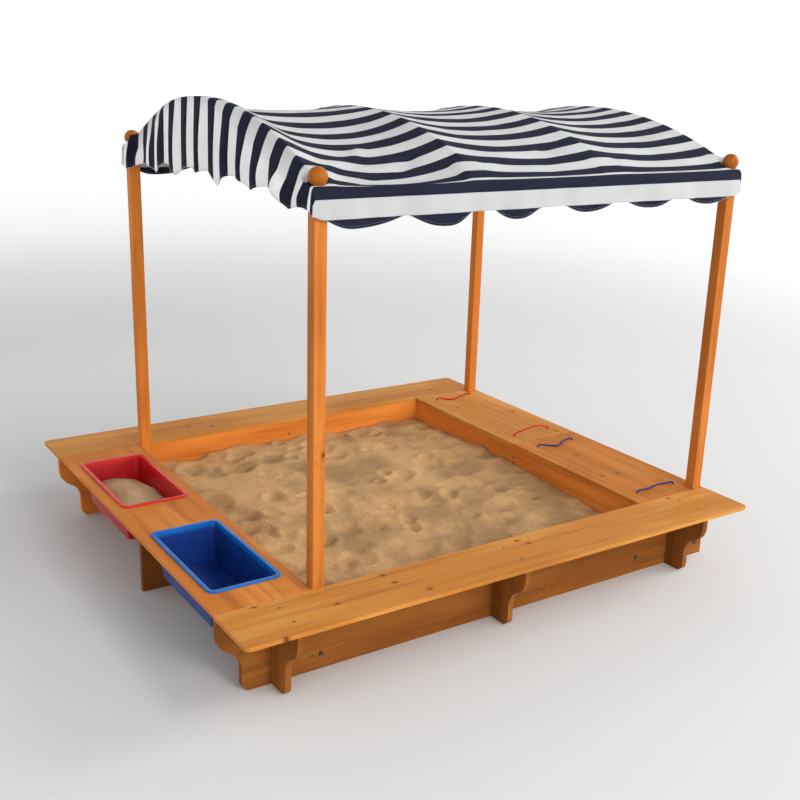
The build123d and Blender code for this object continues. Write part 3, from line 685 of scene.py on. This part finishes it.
def gap_to_line(x, s, line):
    """Metres from a place on the cover to the nearest point of a line on it."""
    gaps = []
    for (ax, ay), (bx, by) in zip(line, line[1:]):
        dx, dy = bx - ax, by - ay
        share = ((x - ax) * dx + (s - ay) * dy) / (dx * dx + dy * dy)
        share = min(1.0, max(0.0, share))
        gaps.append(math.hypot(x - ax - share * dx, s - ay - share * dy))
    return min(gaps)


def fold_height(x, s):
    """The folds, and a slight unevenness everywhere."""
    total = 0.0
    for line, width, height in FOLDS:
        gap = gap_to_line(x, s, line)
        if gap < 3 * width:
            total += height * math.exp(-(gap / width) ** 2)
    wander = Vector((x * 5.0, s * 9.0, 0.3))
    total += 0.0022 * noise.noise(wander) + 0.0012 * noise.noise(wander * 2.7)
    return total


def edge_start(y, side):
    """Where the cover begins to turn down over an end bow, tighter near the posts."""
    near_post = ease(abs(y), 0.632, 0.650)
    if side < 0:
        bulge = 0.028 * ease(y, -0.42, 0.06) * (1 - ease(y, 0.16, 0.58))
        return (BOWS[0] - 0.002 - bulge) * (1 - near_post) + (COVER_LOW.x + 0.0065) * near_post
    return (BOWS[-1] + 0.002) * (1 - near_post) + (COVER_HIGH.x - 0.0065) * near_post


def end_drop(x, y):
    """How far the cover has turned down outside an end bow."""
    side = -1 if x < 0 else 1
    start = edge_start(y, side)
    edge = COVER_LOW.x if side < 0 else COVER_HIGH.x
    width = abs(edge - start)
    share = min(1.0, max(0.0, (x - start) * side / width))
    return 2.1 * width * share ** 1.35


def tucked(x, y):
    """The cover falls close to the first bow beside the back left ball."""
    outside = BOWS[0] - 0.005 - x
    pull = 0.80 * ease(y, 0.26, 0.58) * (1 - ease(y, 0.632, 0.652))
    return x + max(0.0, outside) * pull


def sagging(x, y, s, tight):
    """The cover's height as it sags and wrinkles between bows, held up by the saddles."""
    across = abs(y) / HALF
    t, crown, flank, edge = span_of(x)
    belly = 4 * t * (1 - t)
    depth = crown + (flank - crown) * ease(across, 0.0, 0.42)
    z = tight - depth * belly * (1 - across ** edge)
    z += fold_height(x, s) * ease(belly, 0.06, 0.5) * (1 - across ** 6)
    held = ease(abs(y), 0.60, 0.64) * (1 - ease(gap_to_bow(x), SADDLE_HALF, 0.07))
    return z * (1 - held) + max(z, tight) * held


def below_balls(x, y, z):
    """The same height, brought down to the top of a post under its ball."""
    for ball in BALLS:
        gap = math.hypot(x - ball.x, y - ball.y)
        if gap < BALL_REACH:
            outside = (x - ball.x) * math.copysign(1, ball.x)
            steep = 0.033 - 0.021 * ease(outside, 0.007, 0.022)
            cap = POST_TOP + POST_CLEAR + steep * (gap / 0.038) ** 2.2
            z = soft_min(z, cap, 0.003)
    return z


def top_point(x, s):
    """The cover's place at x along it and s round its arch."""
    angle = (s - ARC / 2) / CLOTH_R
    y = CLOTH_R * math.sin(angle)
    across = abs(y) / HALF
    z = sagging(x, y, s, ARC_Z + CLOTH_R * math.cos(angle))
    if RAIL_INNER - 0.004 < abs(y) < RAIL_OUTER + 0.004:
        z = max(z, RAIL_TOP + 0.0014)
    z += PUFF * math.cos(math.pi * across / 2.02) ** 1.5 * (1 - ease(x - COVER_LOW.x, 0.03, 0.15))
    z -= end_drop(x, y)
    over_saddle = gap_to_bow(x) < SADDLE_HALF and SADDLE_Y[0] < abs(y) < SADDLE_Y[1]
    if not over_saddle:
        z = below_balls(x, y, z)
    return Vector((tucked(x, y), y, z))


def spaced(low, high, count, crowd):
    """Values from low to high that crowd towards both ends."""
    steps = [i / count for i in range(count + 1)]
    return [low + (high - low) * ((1 - crowd) * t + crowd * (1 - math.cos(math.pi * t)) / 2)
            for t in steps]


def cover_lines():
    """The x and s values of the cover's grid lines, with one line on every bow."""
    edge = [0.0, 0.0006, 0.0025, 0.0065, 0.011, 0.017, 0.023]
    lines = [COVER_LOW.x + step for step in edge]
    for low, high in zip(BOWS, BOWS[1:]):
        lines += spaced(low, high, 50, 0.75)[:-1]
    lines += [BOWS[-1]] + [COVER_HIGH.x - step for step in reversed(edge)]
    return lines, spaced(0, ARC, 168, 0.45)


def end_hem(y, table):
    """Hem height of a hanging end: sharp tips with round arches between."""
    for (y0, z0, kind), (y1, z1, _) in zip(table, table[1:]):
        if y0 <= y <= y1:
            t = (y - y0) / (y1 - y0)
            if kind == "tip":
                return z0 + (z1 - z0) * math.sin(t * math.pi / 2)
            return z1 + (z0 - z1) * math.sin((1 - t) * math.pi / 2)
    return table[-1][1]


def side_hem(x):
    """A straight hem with six rounded lobes hanging below it."""
    for start, tip, stop, lowest in LOBES:
        if start <= x <= stop:
            share = (tip - x) / (tip - start) if x < tip else (x - tip) / (stop - tip)
            bell = math.cos(math.pi / 2 * min(1.0, share) ** 1.15)
            return SIDE_HEM_Z - (SIDE_HEM_Z - lowest) * bell
    return SIDE_HEM_Z + 0.010 * (1 - ease(min(x - COVER_LOW.x, COVER_HIGH.x - x), 0.0, 0.03))


def drape_wave(y, seed):
    """Folds of the hanging ends, from -1 to 1."""
    warped = y + 0.035 * math.sin(5.0 * y + seed)
    wave = 0.62 * math.sin(2 * math.pi * warped / 0.118 + seed)
    return wave + 0.38 * math.sin(2 * math.pi * warped / 0.205 + 1.7 * seed)


def skirt_shape(kind, point):
    """Hem height, outward way and wave of one column of the hanging edge."""
    x, y = point.x, point.y
    corner = min(1.0, (HALF - abs(y)) / 0.05) if kind in ("left", "right") else 1.0
    if kind == "left":
        front = ease(-y, 0.0, 0.55)
        wave = (0.009 + 0.005 * front) * drape_wave(y, 0.4) + 0.006 + 0.009 * front
        return end_hem(y, LEFT_HEM), wave * corner
    if kind == "right":
        return end_hem(y, RIGHT_HEM), corner * (0.009 * drape_wave(y, 2.3) + 0.004)
    fade = min(1.0, min(x - COVER_LOW.x, COVER_HIGH.x - x) / 0.05)
    ripple = 0.0035 * math.sin(2 * math.pi * x / 0.31 + (1.0 if kind == "front" else 2.6))
    ripple += 0.002 * math.sin(2 * math.pi * x / 0.117 + 0.7)
    return side_hem(x), ripple * fade


class Cover:
    """The cover's mesh: an arched top with a skirt that hangs from all four edges."""

    def __init__(self):
        self.xs, self.ss = cover_lines()
        self.vertices = [top_point(x, s) for s in self.ss for x in self.xs]
        self.faces, self.cloth, self.hem = [], [], []
        self.columns = []
        self.near_hem = []

    def index(self, i, j):
        return j * len(self.xs) + i

    def make_top(self):
        for j in range(len(self.ss) - 1):
            for i in range(len(self.xs) - 1):
                corners = [(i, j), (i + 1, j), (i + 1, j + 1), (i, j + 1)]
                self.faces.append(tuple(self.index(*corner) for corner in corners))
                self.cloth.append([(self.xs[a], self.ss[b]) for a, b in corners])
                self.hem.append([(0.0, 1.0)] * 4)

    def perimeter(self):
        """Grid places round the cover, each with the side that starts there."""
        nx, ns = len(self.xs) - 1, len(self.ss) - 1
        front = [("front", i, 0) for i in range(nx)]
        right = [("right", nx, j) for j in range(ns)]
        back = [("back", i, ns) for i in range(nx, 0, -1)]
        left = [("left", 0, j) for j in range(ns, 0, -1)]
        return front + right + back + left

    def outward(self, i, j):
        """The way out of the cover at a grid place on its edge, slanting at a corner."""
        nx, ns = len(self.xs) - 1, len(self.ss) - 1
        return Vector(((i == nx) - (i == 0), (j == ns) - (j == 0), 0)).normalized()

    def make_columns(self):
        for kind, i, j in self.perimeter():
            top = self.vertices[self.index(i, j)]
            hem_z, wave = skirt_shape(kind, top)
            way = self.outward(i, j)
            column = [self.index(i, j)]
            points = [top]
            for row in range(1, SKIRT_ROWS + 1):
                f = row / SKIRT_ROWS
                flare = 0.003 * f + wave * math.sin(math.pi * 0.7 * f) ** 1.2
                point = top + way * max(flare, -0.007 if abs(top.y) > 0.66 else -0.018)
                point.z = top.z + (hem_z - top.z) * f
                column.append(len(self.vertices))
                self.vertices.append(point)
                points.append(point)
            depths = [0.0]
            for a, b in zip(points, points[1:]):
                depths.append(depths[-1] + (b - a).length)
            self.near_hem += [index for index, depth in zip(column, depths)
                              if depths[-1] - depth < HEM_FOLD]
            self.columns.append((kind, i, j, column, depths))

    def skirt_uv(self, kind, i, j, depth):
        if kind in ("front", "back"):
            return self.xs[i], -depth
        side = -1 if kind == "left" else 1
        return self.xs[i] + side * depth, self.ss[j]

    def make_skirt(self):
        count = len(self.columns)
        for c in range(count):
            kind, i, j, column, depths = self.columns[c]
            _, i2, j2, column2, depths2 = self.columns[(c + 1) % count]
            for row in range(SKIRT_ROWS):
                corners = [(i, j, column, depths, row + 1), (i2, j2, column2, depths2, row + 1),
                           (i2, j2, column2, depths2, row), (i, j, column, depths, row)]
                self.faces.append(tuple(col[r] for _, _, col, _, r in corners))
                self.cloth.append([self.skirt_uv(kind, a, b, d[r]) for a, b, _, d, r in corners])
                self.hem.append([(float(c), d[-1] - d[r]) for _, _, _, d, r in corners])

    def hem_line(self, above):
        """The closed line that runs a set distance above the hem."""
        line = []
        for _, _, _, column, depths in self.columns:
            target = depths[-1] - above
            row = max(r for r in range(SKIRT_ROWS) if depths[r] <= target)
            share = (target - depths[row]) / (depths[row + 1] - depths[row])
            line.append(self.vertices[column[row]].lerp(self.vertices[column[row + 1]], share))
        return line


def write_uv(mesh, name, corners):
    """Writes one (u, v) for each corner of each face."""
    layer = mesh.uv_layers.new(name=name)
    flat = [part for face in corners for corner in face for part in corner]
    layer.data.foreach_set("uv", flat)


def cover_material():
    """Woven polyester canvas with navy and white stripes; its one white is painted paler on the
    hanging ends and darker on the top and long hanging sides, as painted light and shade.
    """
    material, tree, shader = new_material("striped_canvas")
    cloth = add(tree, "UVMap", uv_map="cloth").outputs[0]
    parts = add(tree, "SeparateXYZ", {0: cloth}).outputs
    hem = add(tree, "SeparateXYZ", {0: add(tree, "UVMap", uv_map="hem").outputs[0]}).outputs[1]
    shift = minus(tree, parts[1], FIRST_STRIPE)
    cycle = calc(tree, "FRACT", calc(tree, "DIVIDE", shift, 2 * STRIPE))
    on_top = calc(tree, "LESS_THAN", cycle, 0.5)
    hanging = calc(tree, "LESS_THAN", parts[1], -0.00001)
    upper = calc(tree, "GREATER_THAN", parts[1], -EAVE_NAVY)
    lower = calc(tree, "LESS_THAN", parts[1], -HANGING_WHITE_END)
    on_skirt = calc(tree, "MAXIMUM", upper, lower)
    edge = calc(tree, "MINIMUM", parts[1], minus(tree, ARC, parts[1]))
    rim = calc(tree, "LESS_THAN", edge, EDGE_NAVY)
    inside = calc(tree, "GREATER_THAN", edge, EDGE_NAVY + EDGE_WHITE)
    on_top = calc(tree, "MAXIMUM", rim, times(tree, inside, on_top))
    dark = add(tree, "Mix", {0: hanging, 2: on_top, 3: on_skirt}, data_type="FLOAT").outputs[0]
    weave_u = calc(tree, "SINE", times(tree, parts[0], 2 * math.pi / THREAD_PITCH))
    weave_v = calc(tree, "SINE", times(tree, parts[1], 2 * math.pi / THREAD_PITCH))
    weave = times(tree, weave_u, weave_v)
    cloudy = speckle(tree, stretch(tree, cloth, (7.0, 7.0, 1.0)), 1.0, 3.0)
    slubs = speckle(tree, stretch(tree, cloth, (60.0, 1100.0, 1.0)), 1.0, 2.0)
    # The top's white, painted darker than the ends as painted shade.
    white = blend_colors(tree, remap(tree, cloudy, 0.35, 0.75), (0.56, 0.57, 0.565),
                         (0.50, 0.51, 0.51))
    # Painted light: the white of the two hanging ends is painted much paler.
    out_low = remap(tree, parts[0], COVER_LOW.x + 0.030, COVER_LOW.x - 0.030)
    out_high = remap(tree, parts[0], COVER_HIGH.x - 0.030, COVER_HIGH.x + 0.030)
    painted_light_ends = times(tree, calc(tree, "MAXIMUM", out_low, out_high),
                  minus(tree, 1.0, hanging))
    white = blend_colors(tree, painted_light_ends, white, (0.88, 0.885, 0.88))
    # Painted shade: the white of the long hanging sides is painted darker.
    white = blend_colors(tree, times(tree, hanging, 0.6), white, (0.38, 0.39, 0.385))
    white = blend_colors(tree, times(tree, slubs, 0.12), white, (0.60, 0.61, 0.63))
    navy = blend_colors(tree, slubs, (0.0075, 0.009, 0.021), (0.014, 0.016, 0.034))
    color = blend_colors(tree, dark, white, navy)
    # Painted highlight: a pale line along the folded hem.
    hem_highlight = calc(tree, "LESS_THAN", hem, 0.0014)
    color = blend_colors(tree, times(tree, hem_highlight, 0.75), color, (0.66, 0.67, 0.69))
    height = plus(tree, weave, times(tree, slubs, 1.2))
    fill(tree, shader, {"Base Color": color, "Roughness": 0.85, "Specular IOR Level": 0.12,
                        "Subsurface Weight": 0.35, "Subsurface Radius": (1.0, 1.0, 1.0),
                        "Subsurface Scale": 0.003, "Normal": bump(tree, height, 0.00012)})
    return material


STITCH_STEP, STITCH_LENGTH, STITCH_W, STITCH_DEPTH = 0.0062, 0.0040, 0.0009, 0.0036


def stitches(cover, above):
    """Short threads through the hem, round the whole cover."""
    line = resample(cover.hem_line(above), STITCH_STEP, closed=True)
    vertices, faces = [], []
    for i, centre in enumerate(line):
        along = (line[(i + 1) % len(line)] - line[i - 1]).normalized()
        through = along.cross(Vector((0, 0, 1))).normalized()
        up = through.cross(along)
        base = len(vertices)
        vertices.append(centre - along * STITCH_LENGTH / 2)
        for step in (-0.3, 0.3):
            middle_point = centre + along * STITCH_LENGTH * step
            for a, b in ((1, 0), (0, 1), (-1, 0), (0, -1)):
                vertices.append(middle_point + through * a * STITCH_DEPTH / 2 + up * b * STITCH_W / 2)
        vertices.append(centre + along * STITCH_LENGTH / 2)
        for k in range(4):
            n = (k + 1) % 4
            faces += [(base, base + 1 + n, base + 1 + k),
                      (base + 1 + k, base + 1 + n, base + 5 + n, base + 5 + k),
                      (base + 5 + k, base + 5 + n, base + 9)]
    return vertices, faces


def thread_material():
    material, tree, shader = new_material("pale_thread")
    twist = speckle(tree, object_place(tree), 2500.0)
    color = blend_colors(tree, twist, (0.48, 0.49, 0.52), (0.66, 0.67, 0.70))
    fill(tree, shader, {"Base Color": color, "Roughness": 0.6})
    return material


def fabric_cover():
    cover = Cover()
    cover.make_top()
    cover.make_columns()
    cover.make_skirt()
    piece = new_piece("fabric_cover", cover.vertices, cover.faces, cover_material(), "frame")
    write_uv(piece.data, "cloth", cover.cloth)
    write_uv(piece.data, "hem", cover.hem)
    group = piece.vertex_groups.new(name="thick")
    group.add(cover.near_hem, 1.0, "REPLACE")
    solidify = piece.modifiers.new("thickness", "SOLIDIFY")
    solidify.thickness = 2 * CLOTH_T
    solidify.offset = 0.0
    solidify.vertex_group = "thick"
    solidify.thickness_vertex_group = 0.5
    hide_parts("canopy_cover")
    vertices, faces = stitches(cover, STITCH_ABOVE_HEM)
    sewn = new_piece("hem_stitching", vertices, faces, thread_material(), "frame")


fabric_cover()


# ---------------------------------------------------------------- sand


def sand_material(name, light, dark):
    """Play sand: fine grains with pale and dark ones mixed in, darker patches, and painted light that
    makes the sand paler towards the back.
    """
    material, tree, shader = new_material(name)
    place = object_place(tree)
    patches = speckle(tree, place, 5.0, 3.0)
    grains = speckle(tree, place, 900.0, 3.0, 0.7)
    clumps = speckle(tree, place, 130.0, 4.0, 0.65)
    cells = add(tree, "TexVoronoi", {"Vector": place, "Scale": 400.0})
    pick = add(tree, "SeparateColor", {0: cells.outputs["Color"]}).outputs
    # Painted light: a ramp that makes the sand paler towards the back, where the cover shades it.
    front = times(tree, add(tree, "SeparateXYZ", {0: place}).outputs[1], -0.11)
    patches_and_painted_light = remap(tree, plus(tree, patches, front), 0.38, 0.66)
    color = blend_colors(tree, patches_and_painted_light, light, dark)
    shade = [0.5 * part for part in dark]
    color = blend_colors(tree, remap(tree, clumps, 0.55, 0.80, 0.0, 0.22), color, shade)
    color = blend_colors(tree, remap(tree, grains, 0.55, 0.75, 0.0, 0.35), color, shade)
    black = times(tree, calc(tree, "GREATER_THAN", pick[0], 0.955), 0.70)
    color = blend_colors(tree, black, color, (0.09, 0.06, 0.035))
    pale = times(tree, calc(tree, "GREATER_THAN", pick[1], 0.95), 0.32)
    color = blend_colors(tree, pale, color, (0.80, 0.66, 0.46))
    coarse = bump(tree, clumps, 0.0035)
    fill(tree, shader, {"Base Color": color, "Roughness": 0.88, "Specular IOR Level": 0.25,
                        "Normal": bump(tree, grains, 0.0009, coarse)})
    return material


SAND_GAP = 0.0002
SAND_CELL = 0.0085
PIT_COUNT = 130


def sand_heights(xs, ys):
    """A trampled surface: lumps, footprints and finger marks."""
    rng = np.random.default_rng(11)
    grid_x, grid_y = np.meshgrid(xs, ys)
    lumps = np.zeros_like(grid_x)
    for scale, height in ((2.1, 0.0130), (4.6, 0.0150), (10.0, 0.0085), (25.0, 0.0036)):
        values = [noise.noise(Vector((x * scale, y * scale, scale))) for y in ys for x in xs]
        lumps += height * np.array(values).reshape(lumps.shape)
    level = 0.1615 + 0.006 * (grid_x - xs[0]) / (xs[-1] - xs[0])
    z = level + lumps
    for _ in range(PIT_COUNT):
        x, y = rng.uniform(xs[0], xs[-1]), rng.uniform(ys[0], ys[-1])
        radius, depth = rng.uniform(0.018, 0.060), rng.uniform(0.004, 0.013)
        turn, squeeze = rng.uniform(0, math.pi), rng.uniform(0.55, 1.0)
        along = (grid_x - x) * math.cos(turn) + (grid_y - y) * math.sin(turn)
        across = (grid_y - y) * math.cos(turn) - (grid_x - x) * math.sin(turn)
        gap = np.hypot(along * squeeze, across) / radius
        z += depth * (0.38 * np.exp(-((gap - 1.30) / 0.33) ** 2) - np.exp(-gap ** 4))
    return np.clip(z, 0.136, 0.192)


def stepped(*stops):
    """Grid lines through every stop, about one cell apart."""
    lines = [stops[0]]
    for low, high in zip(stops, stops[1:]):
        count = max(1, round((high - low) / SAND_CELL))
        lines += [low + (high - low) * (i + 1) / count for i in range(count)]
    return lines


def pit_sand():
    low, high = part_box("sand_bed")
    post_low, post_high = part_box("back_left_post")
    post_x, post_y = post_high.x + SAND_GAP, post_low.y - SAND_GAP
    xs = stepped(low.x + SAND_GAP, post_x, high.x - SAND_GAP)
    ys = stepped(low.y + SAND_GAP, -post_y, post_y, high.y - SAND_GAP)
    heights = sand_heights(xs, ys)
    mesh = bmesh.new()
    grid = [[mesh.verts.new((x, y, heights[j][i])) for i, x in enumerate(xs)]
            for j, y in enumerate(ys)]
    for j in range(len(ys) - 1):
        for i in range(len(xs) - 1):
            middle_x, middle_y = (xs[i] + xs[i + 1]) / 2, (ys[j] + ys[j + 1]) / 2
            if middle_x > post_x or abs(middle_y) < post_y:
                mesh.faces.new((grid[j][i], grid[j][i + 1], grid[j + 1][i + 1], grid[j + 1][i]))
    bmesh.ops.delete(mesh, geom=[v for v in mesh.verts if not v.link_faces], context="VERTS")
    rim = [edge for edge in mesh.edges if edge.is_boundary]
    made = bmesh.ops.extrude_edge_only(mesh, edges=rim)["geom"]
    for vertex in (item for item in made if isinstance(item, bmesh.types.BMVert)):
        vertex.co.z = low.z + SAND_GAP
    bottom = [edge for edge in mesh.edges if edge.is_boundary]
    bmesh.ops.contextual_create(mesh, geom=bottom)
    mesh.normal_update()
    vertices = [v.co.copy() for v in mesh.verts]
    mesh.verts.index_update()
    faces = [tuple(v.index for v in face.verts) for face in mesh.faces]
    mesh.free()
    material = sand_material("play_sand", (0.62, 0.362, 0.152), (0.40, 0.228, 0.097))
    piece = new_piece("sand_surface", vertices, faces, material, "frame")
    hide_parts("sand_bed")


pit_sand()

TUB_BASE_Z, TUB_TOP_Z = 0.122, TUB_RIM_Z
TUB_BASE_HALF = (0.094, 0.204)
TUB_TOP_HALF = (0.111, 0.234)
TUB_SKIN = 0.0034
MOUND_RINGS, MOUND_SIDES = 26, 96
MOUND_HIGHEST_RIM = 0.19


def tub_outline(angle, z):
    """A point on the inside of the tub at a height, relative to its middle."""
    share = (z - TUB_BASE_Z) / (TUB_TOP_Z - TUB_BASE_Z)
    half = [base + share * (top - base) - TUB_SKIN
            for base, top in zip(TUB_BASE_HALF, TUB_TOP_HALF)]
    c, s = math.cos(angle), math.sin(angle)
    reach = ((abs(c)) ** 9 + (abs(s)) ** 9) ** (-1 / 9)
    return half[0] * c * reach, half[1] * s * reach


def mound_height(x, y):
    """Heaped sand, high in the middle and low in the tub's corners."""
    far = math.hypot((x + 0.015) / 0.125, (y + 0.015) / 0.250)
    lumps = noise.noise(Vector((x * 14, y * 14, 2.0))) * 0.007
    lumps += noise.noise(Vector((x * 38, y * 38, 5.0))) * 0.0025
    return 0.227 - 0.042 * far ** 2.2 + lumps


def tub_mound():
    """Sand in the back tub."""
    centre = middle("red_tub_sand")
    vertices, faces = [], []
    for ring in range(MOUND_RINGS + 1):
        share = ring / MOUND_RINGS
        for side in range(MOUND_SIDES):
            angle = 2 * math.pi * side / MOUND_SIDES
            x, y = tub_outline(angle, MOUND_HIGHEST_RIM)
            z = mound_height(x * share, y * share)
            x, y = tub_outline(angle, min(z, MOUND_HIGHEST_RIM))
            vertices.append((centre.x + x * share, centre.y + y * share, z))
    floor = len(vertices)
    bottom_z = TUB_BASE_Z + TUB_SKIN
    for side in range(MOUND_SIDES):
        x, y = tub_outline(2 * math.pi * side / MOUND_SIDES, bottom_z)
        vertices.append((centre.x + x, centre.y + y, bottom_z))
    for ring in range(MOUND_RINGS + 1):
        below = ring * MOUND_SIDES
        above = below + MOUND_SIDES
        for side in range(MOUND_SIDES):
            n = (side + 1) % MOUND_SIDES
            faces.append((below + side, above + side, above + n, below + n))
    faces.append(tuple(range(floor, floor + MOUND_SIDES))[::-1])
    material = sand_material("tub_sand", (0.56, 0.36, 0.19), (0.47, 0.29, 0.14))
    piece = new_piece("tub_mound", vertices, faces, material, "red_tub")
    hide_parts("red_tub_sand")


tub_mound()


# ---------------------------------------------------------------- studio

FLOOR_R, WALL_R, WALL_TOP = 7.0, 12.0, 10.0


def studio_floor():
    """A pale floor that curves up into a round backdrop."""
    profile = [(0.0, 0.0), (FLOOR_R, 0.0)]
    curve = WALL_R - FLOOR_R
    for i in range(1, 13):
        angle = math.pi / 2 * i / 12
        profile.append((FLOOR_R + curve * math.sin(angle), curve * (1 - math.cos(angle))))
    profile.append((WALL_R, WALL_TOP))
    sides = 72
    vertices = [(0, 0, 0)]
    for radius, z in profile[1:]:
        for k in range(sides):
            angle = 2 * math.pi * k / sides
            vertices.append((radius * math.cos(angle), radius * math.sin(angle), z))
    faces = [(0, 1 + k, 1 + (k + 1) % sides) for k in range(sides)]
    for ring in range(len(profile) - 2):
        below, above = 1 + ring * sides, 1 + (ring + 1) * sides
        for k in range(sides):
            n = (k + 1) % sides
            faces.append((below + k, above + k, above + n, below + n))
    mesh = bpy.data.meshes.new("floor")
    mesh.from_pydata(vertices, [], faces)
    mesh.polygons.foreach_set("use_smooth", [True] * len(mesh.polygons))
    material, tree, shader = new_material("pale_paper")
    far = add(tree, "VectorMath", {0: object_place(tree)}, operation="LENGTH").outputs["Value"]
    glow = remap(tree, far, 3.5, 11.0, 0.0, 0.45)
    fill(tree, shader, {"Base Color": (0.66, 0.66, 0.66, 1), "Roughness": 0.9,
                        "Emission Color": (1, 1, 1, 1), "Emission Strength": glow})
    mesh.materials.append(material)
    floor = bpy.data.objects.new("floor", mesh)
    bpy.context.scene.collection.objects.link(floor)


def area_light(name, place, target, size, power):
    data = bpy.data.lights.new(name, "AREA")
    data.shape = "DISK"
    data.size, data.energy = size, power
    lamp = bpy.data.objects.new(name, data)
    lamp.location = place
    way = Vector(target) - Vector(place)
    lamp.rotation_euler = way.to_track_quat("-Z", "Y").to_euler()
    bpy.context.scene.collection.objects.link(lamp)


def studio_light():
    area_light("key", (4.2, -7.8, 9.5), (0, 0, 0.7), 3.8, 345)
    area_light("front", (0.6, -10.2, 4.8), (0, 0, 0.7), 3.8, 500)
    area_light("side", (9.8, -2.4, 4.9), (0, 0, 0.4), 3.6, 440)
    world = bpy.data.worlds.new("studio")
    world.use_nodes = True
    shader = world.node_tree.nodes["Background"]
    shader.inputs["Color"].default_value = (1, 1, 1, 1)
    shader.inputs["Strength"].default_value = 0.36
    bpy.context.scene.world = world
    bpy.context.scene.view_settings.view_transform = "Standard"


studio_floor()
studio_light()
